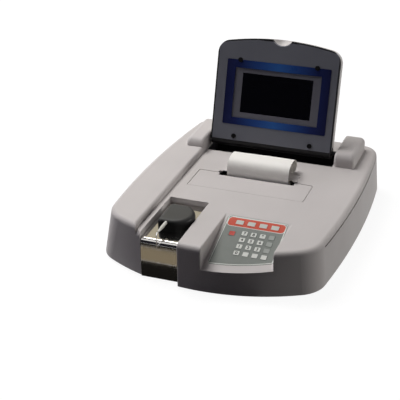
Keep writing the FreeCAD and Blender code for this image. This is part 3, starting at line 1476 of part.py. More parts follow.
def rear_ports():
    """The serial port, the keyboard port and the waste outlet."""
    inside, outside = "rear_pocket_place - port_depth", "panel_back + port_stand"
    serial = block("serial_body", ("port_serial - port_serial_width / 2", "port_serial + port_serial_width / 2"),
                   (inside, outside), ("fan_z - port_serial_height / 2", "fan_z + port_serial_height / 2"))
    serial_hole = block("serial_hole",
                        ("port_serial - port_serial_width / 2 + tub_wall * 2",
                         "port_serial + port_serial_width / 2 - tub_wall * 2"),
                        ("panel_back - port_stand", outside + " + port_stand"),
                        ("fan_z - port_serial_height / 2 + tub_wall", "fan_z + port_serial_height / 2 - tub_wall"))
    keyboard = rod("keyboard_body", "Y", ("port_keyboard", "fan_z"), (inside, outside), "port_keyboard_radius")
    keyboard_hole = rod("keyboard_hole", "Y", ("port_keyboard", "fan_z"),
                        ("panel_back - port_stand", outside + " + port_stand"), "port_keyboard_radius - tub_wall")
    barb = rod("waste_body", "Y", ("waste_place", "fan_z"), (inside, "panel_back + waste_length"), "waste_radius")
    collar = rod("waste_collar", "Y", ("waste_place", "fan_z"), ("panel_back", outside), "waste_radius * 2")
    hole = rod("waste_hole", "Y", ("waste_place", "fan_z"),
               (inside + " - port_stand", "panel_back + waste_length + port_stand"), "waste_radius / 2")
    keep("rear_ports", grouped("ports", cut("serial", serial, serial_hole), cut("keyboard", keyboard, keyboard_hole),
                               cut("waste", fused("waste_whole", barb, collar), hole)))


def power_entry():
    """The power entry module: a flange with the inlet's socket, its fuse drawer and the switch's well."""
    flange = block("entry_flange_plate", ("entry_left - inlet_margin / 2", "entry_right + inlet_margin / 2"),
                   ("panel_back", "panel_back + entry_flange"),
                   ("entry_low - inlet_margin / 2", "entry_high + inlet_margin / 2"))
    body = block("entry_body", ("entry_left", "entry_right"),
                 ("panel_back - entry_depth", "panel_back"), ("entry_low", "entry_high"))
    outside = "panel_back + entry_flange"
    socket = block("inlet_socket", ("inlet_x - inlet_width / 2", "inlet_x + inlet_width / 2"),
                   (outside + " - inlet_depth", outside + " + inlet_margin"),
                   ("entry_low + inlet_margin", "entry_low + inlet_margin + inlet_height"))
    pins = []
    for step in (-1, 0, 1):
        middle = "inlet_x + inlet_width / 4 * %d" % step
        pins.append(block("inlet_pin", (middle + " - inlet_pin / 2", middle + " + inlet_pin / 2"),
                          (outside + " - inlet_depth", outside + " - entry_flange"),
                          ("entry_low + inlet_margin + inlet_height / 3",
                           "entry_low + inlet_margin + inlet_height * 2 / 3")))
    drawer = block("fuse_drawer", ("inlet_x - inlet_width / 2", "inlet_x + inlet_width / 2"),
                   (outside, outside + " + drawer_rise"),
                   ("entry_high - inlet_margin - inlet_height / 2", "entry_high - inlet_margin"))
    well = block("switch_well", ("switch_x - switch_width / 2 - switch_play", "switch_x + switch_width / 2 + switch_play"),
                 (outside + " - switch_depth - switch_play * 6", outside + " + inlet_margin"),
                 ("entry_z - switch_height / 2 - switch_play * 2", "entry_z + switch_height / 2 + switch_play * 2"))
    bore = rod("switch_bore", "X", (outside + " - switch_depth / 2", "entry_z"),
               ("switch_x - switch_width / 2 - switch_pin * 2", "switch_x + switch_width / 2 + switch_pin * 2"),
               "switch_pin + shaft_play")
    cored = cut("entry_cored", fused("entry_whole", flange, body, drawer), socket, well, bore)
    keep("power_entry", fused("entry", cored, *pins))


def rocker_switch():
    """The rocker of the power switch, on its pivot pin."""
    outside = "panel_back + entry_flange"
    outline = (
        (outside + " - switch_depth", "entry_z - switch_height / 4"),
        (outside + " - switch_depth", "entry_z + switch_height / 4"),
        (outside + " - switch_depth / 3", "entry_z + switch_height / 2"),
        (outside + " + switch_pin * 2", "entry_z + switch_height / 2 - switch_pin"),
        (outside, "entry_z"),
        (outside + " + switch_pin", "entry_z - switch_height / 2 + switch_pin"),
        (outside + " - switch_depth / 3", "entry_z - switch_height / 2"),
    )
    rocker = slab("rocker_body", "YZ", outline, ("switch_x - switch_width / 2", "switch_x + switch_width / 2"))
    pin = rod("rocker_pin", "X", (outside + " - switch_depth / 2", "entry_z"),
              ("switch_x - switch_width / 2 - switch_pin", "switch_x + switch_width / 2 + switch_pin"), "switch_pin")
    keep("rocker_switch", fused("rocker", rocker, pin))


# The fan's seat, and the roots of its blades, as a share of its hub
FAN_SEAT_SHARE = 0.8


def cooling_fan():
    """The square fan frame behind the slots, with a stem that carries the rotor's shaft."""
    low, high = "rear_pocket_place - fan_depth", "rear_pocket_place"
    frame = block("fan_square", ("fan_middle - fan_size / 2", "fan_middle + fan_size / 2"), (low, high),
                  ("fan_z - fan_size / 2", "fan_z + fan_size / 2"))
    bore = rod("fan_round", "Y", ("fan_middle", "fan_z"), (low + " - tub_wall", high + " + tub_wall"), "fan_bore")
    strut = block("fan_strut", ("fan_middle - fan_size / 2", "fan_middle + fan_size / 2"),
                  (low, low + " + tub_wall"), ("fan_z - tub_wall", "fan_z + tub_wall"))
    hub = rod("fan_seat", "Y", ("fan_middle", "fan_z"), (low, low + " + fan_seat_depth"),
              "fan_hub * %s" % FAN_SEAT_SHARE)
    hole = rod("fan_shaft_hole", "Y", ("fan_middle", "fan_z"), (low + " - tub_wall", low + " + fan_depth"),
               "fan_shaft + shaft_play")
    keep("cooling_fan", cut("fan_frame", fused("fan_whole", cut("fan_ring", frame, bore), strut, hub), hole))


def fan_rotor():
    """The fan's rotor: a hub with blades on a short shaft."""
    low, high = "rear_pocket_place - fan_depth", "rear_pocket_place"
    start = low + " + fan_seat_depth + fan_gap"
    hub = rod("rotor_hub", "Y", ("fan_middle", "fan_z"), (start, high + " - fan_gap"), "fan_hub")
    shaft = rod("rotor_shaft", "Y", ("fan_middle", "fan_z"), (low, start + " + fan_gap"), "fan_shaft")
    blades = []
    count = int(value("fan_blades"))
    for number in range(count):
        blade = block("blade", ("0 - fan_blade / 2", "fan_blade / 2"), (start + " + fan_gap", high + " - fan_gap * 2"),
                      ("fan_hub * %s" % FAN_SEAT_SHARE, "fan_bore - fan_gap * 2"))
        blades.append(turned_blade(blade, "360 / fan_blades * %d" % number))
    keep("fan_rotor", fused("rotor_whole", hub, shaft, *blades))


def turned_blade(blade, angle):
    """Turn a blade about the fan's axis."""
    blade.Placement = FreeCAD.Placement(FreeCAD.Vector(), FreeCAD.Rotation(AXES["Y"], 1))
    blade.setExpression("Placement.Rotation.Angle", bound(angle))
    start = "rear_pocket_place - fan_depth + fan_seat_depth + fan_gap * 2"
    root = "fan_hub * %s" % FAN_SEAT_SHARE
    tie(blade, Base_x="fan_middle + %s * sin(%s) - fan_blade / 2 * cos(%s)" % (root, angle, angle))
    tie(blade, Base_y=start)
    return tie(blade, Base_z="fan_z + %s * cos(%s) + fan_blade / 2 * sin(%s)" % (root, angle, angle))


def build():
    """Make every sub-part."""
    top_casing()
    hinge_trough()
    base_tray()
    rubber_feet()
    case_screws()
    splash_plate()
    aspirator_hood()
    needle_sleeve()
    aspirator_needle()
    keypad()
    printer_cover()
    printer_frame()
    platen_roller()
    print_head()
    tear_bar()
    paper_roll()
    paper_strip()
    lid_back_shell()
    lid_bezel()
    display_frame()
    lcd_module()
    lid_caps()
    lid_barrel()
    optics_bench()
    lamp_housing()
    filter_wheel()
    filter_motor()
    flow_cell()
    pump_body()
    pump_rotor()
    power_supply()
    main_board()
    rear_panel()
    rear_ports()
    power_entry()
    rocker_switch()
    cooling_fan()
    fan_rotor()
    doc.recompute()


def check():
    """Stop if any object failed, or a sub-part has no valid shape."""
    for thing in doc.Objects:
        if "Invalid" in thing.State or "Error" in thing.State:
            raise RuntimeError("%s is in state %s" % (thing.Label, thing.State))
    for name, thing in nodes.items():
        if thing.Shape.isNull() or not thing.Shape.isValid() or not thing.Shape.Solids:
            raise RuntimeError("%s has no valid shape" % name)


def write():
    """Write each sub-part to its own file."""
    os.makedirs("parts", exist_ok=True)
    for name, thing in nodes.items():
        thing.Shape.exportStep("parts/%s.step" % name)
        print(name, len(thing.Shape.Solids), round(thing.Shape.Volume))


build()
check()
write()
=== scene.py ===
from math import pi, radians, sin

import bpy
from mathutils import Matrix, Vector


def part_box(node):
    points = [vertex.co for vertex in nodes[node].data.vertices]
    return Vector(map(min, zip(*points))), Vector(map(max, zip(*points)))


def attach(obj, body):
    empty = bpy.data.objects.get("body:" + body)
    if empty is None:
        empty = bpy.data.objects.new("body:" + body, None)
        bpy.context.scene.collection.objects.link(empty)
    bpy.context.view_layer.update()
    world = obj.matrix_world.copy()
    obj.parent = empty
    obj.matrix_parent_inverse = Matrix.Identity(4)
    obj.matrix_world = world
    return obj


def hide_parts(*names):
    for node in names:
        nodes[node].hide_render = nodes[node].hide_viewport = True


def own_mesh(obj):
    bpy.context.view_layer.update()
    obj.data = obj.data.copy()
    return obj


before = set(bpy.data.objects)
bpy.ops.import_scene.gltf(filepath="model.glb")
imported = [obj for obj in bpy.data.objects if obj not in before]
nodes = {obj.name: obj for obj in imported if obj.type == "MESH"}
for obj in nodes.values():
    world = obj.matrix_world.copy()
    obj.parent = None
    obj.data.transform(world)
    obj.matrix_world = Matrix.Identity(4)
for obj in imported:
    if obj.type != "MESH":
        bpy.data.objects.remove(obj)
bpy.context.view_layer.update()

# %% [markdown]
# # A benchtop chemistry analyzer
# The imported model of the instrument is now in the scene: every part stands at its real place, in
# metres. This lesson dresses it. It sets up the camera and the light, gives each part its surface,
# and models by hand what the plain solids leave out: the display glass, the print on the keypad and
# on its keys, the curled paper and the thin guide behind it.

MM = 0.001

# %% [markdown]
# ## Selecting in code
# An operator works on whatever is selected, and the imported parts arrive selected. So before each piece
# everything is let go, and then only that piece is picked, as one would do by hand with the mouse.

# %% Selection helpers


def deselect():
    """Nothing is selected and no object is in edit mode."""
    if bpy.context.object and bpy.context.object.mode != "OBJECT":
        bpy.ops.object.mode_set(mode="OBJECT")
    bpy.ops.object.select_all(action="DESELECT")


def pick(piece):
    """Only this piece is selected and active."""
    deselect()
    piece.select_set(True)
    bpy.context.view_layer.objects.active = piece


# %% [markdown]
# ## The camera
# A photograph of a product is taken with a long lens from a little above, so that upright edges stay
# nearly parallel. The camera here stands a metre and a half in front of the instrument and half a
# metre to its right, and is turned back towards it. A small shift of the lens puts the instrument
# where it sits in the picture without tilting the camera. The three angles are in degrees.

# %% Camera
CAMERA_PLACE = (0.546, -1.501, 0.920)
CAMERA_TURN = 20.92
CAMERA_TIP = 28.86
CAMERA_ROLL = -1.38
LENS_LENGTH = 94.87
LENS_SHIFT = (-0.0722, 0.0139)
FARTHEST_SEEN = 50

camera_data = bpy.data.cameras.new("studio_camera")
camera = bpy.data.objects.new("studio_camera", camera_data)
bpy.context.collection.objects.link(camera)
camera_data.lens = LENS_LENGTH
camera_data.sensor_width = 36
camera_data.shift_x, camera_data.shift_y = LENS_SHIFT
camera_data.clip_end = FARTHEST_SEEN
turn_round = Matrix.Rotation(radians(CAMERA_TURN), 4, "Z")
tip_down = Matrix.Rotation(radians(90 - CAMERA_TIP), 4, "X")
roll = Matrix.Rotation(radians(CAMERA_ROLL), 4, "Z")
camera.matrix_world = Matrix.Translation(CAMERA_PLACE) @ turn_round @ tip_down @ roll
bpy.context.scene.camera = camera
bpy.context.scene.view_settings.view_transform = "Standard"
print("camera at", [round(v, 3) for v in camera.location], "lens", camera_data.lens)

# %% [markdown]
# ## A surface
# Every surface starts as one Principled shader. What is the same all over the surface is typed on the
# shader's own sockets. A shader takes light values, while a colour read off a screen is stored on a
# curve, so it is straightened first.

# %% Surfaces and their colours


def screen_colour(red, green, blue):
    """A colour read off a screen, from 0 to 255, as the light values that a shader takes."""
    def linear(level):
        share = level / 255
        return share / 12.92 if share <= 0.04045 else ((share + 0.055) / 1.055) ** 2.4
    return (linear(red), linear(green), linear(blue), 1)


def surface(name, colour, roughness, metal=0.0, shine=0.5):
    """A material with one Principled shader, its even values on the shader's own sockets."""
    finish = bpy.data.materials.new(name)
    finish.use_nodes = True
    shader = shader_of(finish)
    shader.inputs["Base Color"].default_value = colour
    shader.inputs["Roughness"].default_value = roughness
    shader.inputs["Metallic"].default_value = metal
    shader.inputs["Specular IOR Level"].default_value = shine
    finish.diffuse_color = colour
    return finish


def shader_of(finish):
    """The material's Principled shader."""
    return finish.node_tree.nodes["Principled BSDF"]


def dress(finish, *names):
    """Give a surface to parts of the frame."""
    for name in names:
        materials = nodes[name].data.materials
        materials.clear()
        materials.append(finish)


def toned(colour, share):
    """The same colour, lighter or darker by a share."""
    return (colour[0] * share, colour[1] * share, colour[2] * share, 1)


# %% [markdown]
# ## Patterns
# What varies over a surface comes from a texture. It reads the part's own coordinates, so that it
# stays put when the part moves, and a ramp or a range turns its grey level into what is wanted.

# %% Pattern helpers


def add_node(finish, kind, **settings):
    """A new node in a material's tree."""
    node = finish.node_tree.nodes.new(kind)
    for name, choice in settings.items():
        setattr(node, name, choice)
    return node


def link(finish, start, end):
    """One wire from a socket to another."""
    finish.node_tree.links.new(start, end)


def place_in_part(finish, stretch=(1, 1, 1), turn=(0, 0, 0), shift=(0, 0, 0)):
    """The part's own coordinates, turned, moved and stretched for a pattern."""
    coordinates = add_node(finish, "ShaderNodeTexCoord")
    mapping = add_node(finish, "ShaderNodeMapping")
    mapping.inputs["Scale"].default_value = stretch
    mapping.inputs["Rotation"].default_value = turn
    mapping.inputs["Location"].default_value = shift
    link(finish, coordinates.outputs["Object"], mapping.inputs["Vector"])
    return mapping.outputs["Vector"]


def noise(finish, size, detail=2, stretch=(1, 1, 1)):
    """Noise with blots of about that size in metres."""
    texture = add_node(finish, "ShaderNodeTexNoise")
    texture.inputs["Scale"].default_value = 1 / size
    texture.inputs["Detail"].default_value = detail
    link(finish, place_in_part(finish, stretch), texture.inputs["Vector"])
    return texture.outputs["Fac"]


def ramp(finish, level, stops):
    """A level from 0 to 1 turned into the colours at its stops."""
    node = add_node(finish, "ShaderNodeValToRGB")
    while len(node.color_ramp.elements) < len(stops):
        node.color_ramp.elements.new(0.5)
    for element, (place, colour) in zip(node.color_ramp.elements, stops):
        element.position = place
        element.color = colour
    link(finish, level, node.inputs["Fac"])
    return node.outputs["Color"]


# %% [markdown]
# ## Grain, mottle and uneven gloss
# Three things keep a surface from looking like coloured paper: fine bumps, a slow change of shade, and
# a gloss that wanders where the part was moulded, wiped or handled. Each is one noise. Such noise
# spends most of its time between 0.3 and 0.7, so that band is spread over the whole change.

# %% Grain, mottle and gloss
NOISE_BAND = (0.3, 0.7)


def grain(finish, size, depth, strength=1.0, stretch=(1, 1, 1)):
    """Fine bumps of about that size and depth in metres."""
    bump = add_node(finish, "ShaderNodeBump")
    bump.inputs["Strength"].default_value = strength
    bump.inputs["Distance"].default_value = depth
    link(finish, noise(finish, size, 3, stretch), bump.inputs["Height"])
    link(finish, bump.outputs["Normal"], shader_of(finish).inputs["Normal"])


def mottle(finish, size, first, second, stretch=(1, 1, 1)):
    """A slow change of colour between two near shades."""
    level = noise(finish, size, 4, stretch)
    colours = ramp(finish, level, [(NOISE_BAND[0], first), (NOISE_BAND[1], second)])
    link(finish, colours, shader_of(finish).inputs["Base Color"])
    return colours


def uneven_gloss(finish, size, low, high, stretch=(1, 1, 1)):
    """A roughness that wanders between two values, as on handled or moulded surfaces."""
    spread = add_node(finish, "ShaderNodeMapRange")
    spread.inputs["From Min"].default_value, spread.inputs["From Max"].default_value = NOISE_BAND
    spread.inputs["To Min"].default_value = low
    spread.inputs["To Max"].default_value = high
    link(finish, noise(finish, size, 4, stretch), spread.inputs["Value"])
    link(finish, spread.outputs["Result"], shader_of(finish).inputs["Roughness"])


# %% [markdown]
# ## Moulded casing
# The casing is injection moulded in a warm light grey with a fine spark-eroded texture. The texture
# is a bump of a few hundredths of a millimetre with grains under a millimetre across, and the gloss
# wanders a little where the part has been wiped and handled. A flat grey would look like paper.

# %% Casing and lid shell
casing_colour = screen_colour(204, 199, 197)
casing = surface("moulded_casing", casing_colour, 0.5, shine=0.3)
mottle(casing, 0.09, toned(casing_colour, 0.97), toned(casing_colour, 1.02))
uneven_gloss(casing, size=0.04, low=0.44, high=0.56)
grain(casing, size=0.0009, depth=0.00003, strength=0.5)
dress(casing, "top_casing", "printer_cover")

shell_colour = screen_colour(208, 204, 201)
lid_shell = surface("moulded_lid_shell", shell_colour, 0.45, shine=0.3)
mottle(lid_shell, 0.07, toned(shell_colour, 0.97), toned(shell_colour, 1.02))
uneven_gloss(lid_shell, size=0.03, low=0.4, high=0.5)
grain(lid_shell, size=0.0009, depth=0.00003, strength=0.5)
dress(lid_shell, "lid_back_shell")
print("casing colour", [round(v, 3) for v in casing_colour[:3]])

# %% [markdown]
# ## Dark plastic
# The hinge, the printer's frame and the fan are black plastic. A moulded black is never quite black:
# it shows a grey sheen where the light grazes it. The switch is the same black with a gloss.

# %% Dark plastics
black_colour = (0.011, 0.0105, 0.012, 1)
dark_plastic = surface("dark_plastic", black_colour, 0.4, shine=0.3)
mottle(dark_plastic, 0.05, toned(black_colour, 0.8), toned(black_colour, 1.3))
uneven_gloss(dark_plastic, size=0.03, low=0.33, high=0.48)
grain(dark_plastic, size=0.0007, depth=0.00003, strength=0.6)
dress(dark_plastic, "hinge_trough", "lid_barrel", "printer_frame")
dress(dark_plastic, "power_entry", "cooling_fan", "fan_rotor")

switch_black = surface("switch_black", (0.008, 0.008, 0.009, 1), 0.2)
uneven_gloss(switch_black, size=0.02, low=0.15, high=0.28)
grain(switch_black, size=0.0008, depth=0.00002, strength=0.3)
dress(switch_black, "rocker_switch")
print("dark plastics:", dark_plastic.name, switch_black.name)

# %% [markdown]
# ## The hood's painted top light
# The black hood's colour follows which way the surface faces: black where it looks sideways, grey
# where it looks up. The grey top is painted light, a sheen from the lamp above painted into the colour.

# %% Hood
UPRIGHT_BLACK = (0.003, 0.003, 0.003, 1)
SLOPING_GREY = (0.03, 0.03, 0.029, 1)
LEVEL_GREY = (0.058, 0.058, 0.055, 1)

hood_plastic = surface("hood_painted_top_light", black_colour, 0.42, shine=0.16)
surface_normal = add_node(hood_plastic, "ShaderNodeNewGeometry").outputs["Normal"]
facing = add_node(hood_plastic, "ShaderNodeSeparateXYZ")
link(hood_plastic, surface_normal, facing.inputs["Vector"])
# Painted light: upward faces are painted grey and upright faces darker, as the lamp above would light
# them.
painted_top_light_stops = [(0.45, UPRIGHT_BLACK), (0.8, SLOPING_GREY), (1.0, LEVEL_GREY)]
painted_top_light = ramp(hood_plastic, facing.outputs["Z"], painted_top_light_stops)
link(hood_plastic, painted_top_light, shader_of(hood_plastic).inputs["Base Color"])
uneven_gloss(hood_plastic, size=0.02, low=0.34, high=0.5)
grain(hood_plastic, size=0.0007, depth=0.00003, strength=0.5)
dress(hood_plastic, "aspirator_hood")
print("hood dressed with", len(hood_plastic.node_tree.nodes), "nodes")

# %% [markdown]
# ## Rubber and the lid's bezel
# The caps, the feet and the platen are rubber, which is duller than plastic and shows almost no
# highlight. The bezel round the display is plastic painted a dark blue grey.

# %% Rubber and bezel
rubber_colour = (0.006, 0.006, 0.0065, 1)
rubber = surface("dark_rubber", rubber_colour, 0.75, shine=0.06)
mottle(rubber, 0.02, toned(rubber_colour, 0.8), toned(rubber_colour, 1.5))
uneven_gloss(rubber, size=0.01, low=0.62, high=0.85)
grain(rubber, size=0.0006, depth=0.00005, strength=0.7)
dress(rubber, "lid_caps", "rubber_feet", "platen_roller")

bezel_colour = screen_colour(118, 120, 128)
bezel = surface("lid_bezel_plastic", bezel_colour, 0.42, shine=0.3)
uneven_gloss(bezel, size=0.03, low=0.36, high=0.5)
grain(bezel, size=0.0007, depth=0.00003, strength=0.5)
dress(bezel, "lid_bezel")
print("rubber and bezel:", rubber.name, bezel.name)

# %% [markdown]
# ## Steel and aluminium
# The splash plate is polished stainless steel sheet. It is rolled and then brushed, so fine lines run
# across it and spread its reflections. The needle is drawn tube and the optics are milled aluminium.
# Each metal has its grain in its own direction: a noise stretched long in one direction and tight in
# the other.

# %% Steel and aluminium
steel = surface("polished_steel", (0.62, 0.6, 0.58, 1), 0.16, metal=1.0)
uneven_gloss(steel, size=0.02, low=0.07, high=0.14, stretch=(0.2, 6, 6))
grain(steel, size=0.0012, depth=0.00001, strength=0.08, stretch=(0.03, 3, 3))
dress(steel, "splash_plate", "tear_bar")

needle_steel = surface("needle_steel", (0.66, 0.66, 0.67, 1), 0.2, metal=1.0)
uneven_gloss(needle_steel, size=0.004, low=0.14, high=0.28, stretch=(4, 0.2, 0.2))
grain(needle_steel, size=0.0006, depth=0.00001, strength=0.3, stretch=(4, 0.1, 0.1))
dress(needle_steel, "aspirator_needle")

screw_steel = surface("screw_steel", (0.5, 0.5, 0.5, 1), 0.3, metal=1.0)
uneven_gloss(screw_steel, size=0.002, low=0.22, high=0.4)
grain(screw_steel, size=0.0005, depth=0.00002, strength=0.4)
dress(screw_steel, "case_screws")

aluminium = surface("milled_aluminium", (0.6, 0.6, 0.62, 1), 0.34, metal=1.0)
uneven_gloss(aluminium, size=0.004, low=0.26, high=0.42, stretch=(0.2, 5, 1))
grain(aluminium, size=0.0009, depth=0.00002, strength=0.5, stretch=(0.05, 2, 1))
dress(aluminium, "print_head", "optics_bench", "lamp_housing")

motor_steel = surface("motor_steel", (0.42, 0.42, 0.42, 1), 0.32, metal=1.0)
uneven_gloss(motor_steel, size=0.006, low=0.25, high=0.4)
grain(motor_steel, size=0.0007, depth=0.00002, strength=0.4, stretch=(0.1, 2, 2))
dress(motor_steel, "filter_motor")
print("bright metals:", steel.name, needle_steel.name, aluminium.name, motor_steel.name)

# %% [markdown]
# ## Sheet metal and ports
# The rear panel is plated sheet, which looks cloudy rather than brushed, the tray is painted, and the
# filter wheel and the flow cell are anodised black to swallow stray light.

# %% Sheet metal and ports
port_metal = surface("port_metal", (0.5, 0.49, 0.47, 1), 0.28, metal=1.0)
uneven_gloss(port_metal, size=0.003, low=0.2, high=0.36)
grain(port_metal, size=0.0005, depth=0.00002, strength=0.4)
dress(port_metal, "rear_ports")

panel_metal = surface("plated_sheet", (0.45, 0.45, 0.44, 1), 0.4, metal=1.0)
mottle(panel_metal, 0.02, (0.4, 0.4, 0.4, 1), (0.5, 0.5, 0.48, 1))
uneven_gloss(panel_metal, size=0.01, low=0.32, high=0.5)
grain(panel_metal, size=0.001, depth=0.00002, strength=0.4)
dress(panel_metal, "rear_panel", "power_supply")

tray_paint = surface("tray_paint", screen_colour(150, 150, 153), 0.5)
mottle(tray_paint, 0.05, screen_colour(145, 145, 148), screen_colour(154, 154, 157))
grain(tray_paint, size=0.0015, depth=0.00006, strength=0.5)
dress(tray_paint, "base_tray")

dark_metal = surface("black_anodised", (0.02, 0.02, 0.021, 1), 0.45, metal=0.6)
uneven_gloss(dark_metal, size=0.006, low=0.38, high=0.55)
grain(dark_metal, size=0.0008, depth=0.00002, strength=0.4)
dress(dark_metal, "filter_wheel", "flow_cell")
print("sheet and ports:", port_metal.name, panel_metal.name, tray_paint.name, dark_metal.name)

# %% [markdown]
# ## Plastics inside, paper and the board
# The needle's sleeve and the pump's rotor are white acetal, the pump's body is plain grey plastic, the
# paper is thermal paper with a faint coating, and the board is covered in green solder mask.

# %% Inner plastics, paper, board
white_plastic = surface("white_acetal", screen_colour(222, 221, 212), 0.35)
mottle(white_plastic, 0.01, screen_colour(218, 217, 207), screen_colour(226, 225, 217))
grain(white_plastic, size=0.0008, depth=0.00002, strength=0.4)
dress(white_plastic, "needle_sleeve", "pump_rotor")

pump_plastic = surface("pump_plastic", screen_colour(184, 183, 178), 0.5)
mottle(pump_plastic, 0.02, screen_colour(178, 177, 172), screen_colour(188, 187, 182))
grain(pump_plastic, size=0.0009, depth=0.00004, strength=0.5)
dress(pump_plastic, "pump_body")

paper_colour = screen_colour(252, 250, 244)
paper = surface("thermal_paper", paper_colour, 0.55)
mottle(paper, 0.012, toned(paper_colour, 0.97), paper_colour)
grain(paper, size=0.0004, depth=0.00001, strength=0.5)
dress(paper, "paper_roll", "paper_strip")

board_green = surface("board_green", (0.008, 0.07, 0.025, 1), 0.3)
mottle(board_green, 0.004, (0.006, 0.05, 0.02, 1), (0.014, 0.1, 0.035, 1), (1, 6, 1))
grain(board_green, size=0.0012, depth=0.00004, strength=0.6)
dress(board_green, "main_board")

circuit_film = surface("circuit_film", (0.22, 0.16, 0.06, 1), 0.35)
mottle(circuit_film, 0.006, (0.2, 0.14, 0.05, 1), (0.26, 0.19, 0.08, 1), (4, 1, 1))
grain(circuit_film, size=0.001, depth=0.00002, strength=0.4)
dress(circuit_film, "keypad_circuit")
print("paper and board:", paper.name, board_green.name)

# %% [markdown]
# ## The display frame
# The frame round the display is a printed sheet: bright blue in the middle of its top and bottom, and
# fading to navy at both ends. The fade runs across the sheet, so the material reads how far a point
# is from the frame's middle and looks the colour up on a ramp.

# %% Blue display frame
frame_low, frame_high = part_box("display_frame")
frame_middle = (frame_low.x + frame_high.x) / 2
frame_half = (frame_high.x - frame_low.x) / 2
blue = surface("printed_blue", screen_colour(40, 76, 150), 0.35, shine=0.2)
across = add_node(blue, "ShaderNodeSeparateXYZ")
link(blue, place_in_part(blue), across.inputs["Vector"])
from_middle = add_node(blue, "ShaderNodeMath", operation="SUBTRACT")
link(blue, across.outputs["X"], from_middle.inputs[0])
from_middle.inputs[1].default_value = frame_middle
distance = add_node(blue, "ShaderNodeMath", operation="ABSOLUTE")
link(blue, from_middle.outputs["Value"], distance.inputs[0])
share = add_node(blue, "ShaderNodeMath", operation="DIVIDE")
link(blue, distance.outputs["Value"], share.inputs[0])
share.inputs[1].default_value = frame_half
blue_stops = [(0.0, screen_colour(52, 100, 172)), (0.35, screen_colour(43, 76, 142)),
              (0.75, screen_colour(32, 42, 92)), (1.0, screen_colour(28, 32, 70))]
blues = ramp(blue, share.outputs["Value"], blue_stops)
link(blue, blues, shader_of(blue).inputs["Base Color"])
uneven_gloss(blue, size=0.03, low=0.26, high=0.36)
grain(blue, size=0.0006, depth=0.00001, strength=0.3)
dress(blue, "display_frame")

screen_frame = surface("screen_frame", screen_colour(112, 112, 120), 0.35, shine=0.2)
uneven_gloss(screen_frame, size=0.02, low=0.27, high=0.38)
grain(screen_frame, size=0.0006, depth=0.00001, strength=0.3)
dress(screen_frame, "lcd_module")
print("the blue frame's half width in mm:", round(frame_half / MM, 1))

# %% [markdown]
# ## The display glass
# Behind the frame sits a liquid crystal panel under a sheet of glass. Switched off it is nearly black
# and shows only soft reflections. The glass is modelled lying flat, as a bevelled slab, and is then
# stood up on the hinge at the lid's angle, in the sunken field of the display module.

# %% Helpers for modelled pieces
LID_TILT = radians(18.8)
LID_FOOT = (0, 136.3 * MM, 94 * MM)
lid_stand = Matrix.Translation(LID_FOOT) @ Matrix.Rotation(pi / 2 - LID_TILT, 4, "X")


def far_face(name, stand):
    """How far a part reaches along the third axis of a stand, in metres."""
    inverse = stand.inverted()
    return max((inverse @ vertex.co).z for vertex in nodes[name].data.vertices)


def place(piece, stand):
    """Puts a piece that was modelled lying flat into its stand, with its place in its mesh."""
    piece.matrix_world = stand @ piece.matrix_world
    pick(piece)
    bpy.ops.object.transform_apply(location=True, rotation=True, scale=True)


def slab(name, x_range, y_range, z_range, bevel, segments=2):
    """A block between three ranges in millimetres, with rounded edges."""
    deselect()
    middle = [(low + high) / 2 * MM for low, high in (x_range, y_range, z_range)]
    bpy.ops.mesh.primitive_cube_add(size=1, location=middle)
    piece = bpy.context.object
    piece.name = name
    piece.scale = [(high - low) * MM for low, high in (x_range, y_range, z_range)]
    bpy.ops.object.transform_apply(location=True, rotation=True, scale=True)
    bpy.ops.object.mode_set(mode="EDIT")
    bpy.ops.mesh.select_all(action="SELECT")
    bpy.ops.mesh.bevel(offset=bevel * MM, segments=segments, affect="EDGES")
    bpy.ops.object.mode_set(mode="OBJECT")
    return piece


def give(piece, finish, body):
    """A piece gets its surface and the body that it moves with."""
    piece.data.materials.clear()
    piece.data.materials.append(finish)
    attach(piece, body)
    print(piece.name, "has", len(piece.data.polygons), "faces and rides on", body)


# %% [markdown]
# The glass lies in the field a little below the module's front, so the module is measured first and
# the slab's two faces are set from it, in millimetres along the lid's own directions.

# %% Display glass
GLASS_ACROSS = (-57.7, 73.5)
GLASS_UP = (52.8, 124)
GLASS_BACK = 0.98
GLASS_FRONT = 0.45

module_face = far_face("lcd_module", lid_stand) / MM
glass_depth = (module_face - GLASS_BACK, module_face - GLASS_FRONT)
glass = surface("display_glass", (0.0012, 0.0012, 0.003, 1), 0.12)
uneven_gloss(glass, size=0.03, low=0.1, high=0.16)
grain(glass, size=0.0005, depth=0.000005, strength=0.2)
display_glass = slab("display_glass", GLASS_ACROSS, GLASS_UP, glass_depth, 0.15)
place(display_glass, lid_stand)
give(display_glass, glass, "lid")

# %% [markdown]
# ## The keypad's print
# The keypad is a printed film. On the real one the colours are printed on its back, so they have
# crisp edges and no thickness: an orange-red band with a white outline behind the upper keys, and a
# white line all round the sheet. Such print belongs in the material. A rounded box is found with a
# little arithmetic: how far a point lies outside the box's core, less the corner's radius.

# %% Arithmetic for print
PAD_SLOPE = radians(17.5)
PAD_TOP = Vector((0, -102 * MM, 80 * MM))
pad_stand = Matrix.Translation(PAD_TOP) @ Matrix.Rotation(PAD_SLOPE, 4, "X")
pad_shift = Matrix.Rotation(-PAD_SLOPE, 4, "X") @ -PAD_TOP


def vector_step(finish, operation, start, value=None):
    """One step of arithmetic on a place."""
    node = add_node(finish, "ShaderNodeVectorMath", operation=operation)
    link(finish, start, node.inputs[0])
    if value is not None:
        node.inputs[1].default_value = value
    return node.outputs["Value"] if operation == "LENGTH" else node.outputs["Vector"]


def number_step(finish, operation, start, value):
    """One step of arithmetic on a number; value is a number or a socket."""
    node = add_node(finish, "ShaderNodeMath", operation=operation)
    link(finish, start, node.inputs[0])
    if isinstance(value, float):
        node.inputs[1].default_value = value
    else:
        link(finish, value, node.inputs[1])
    return node.outputs["Value"]


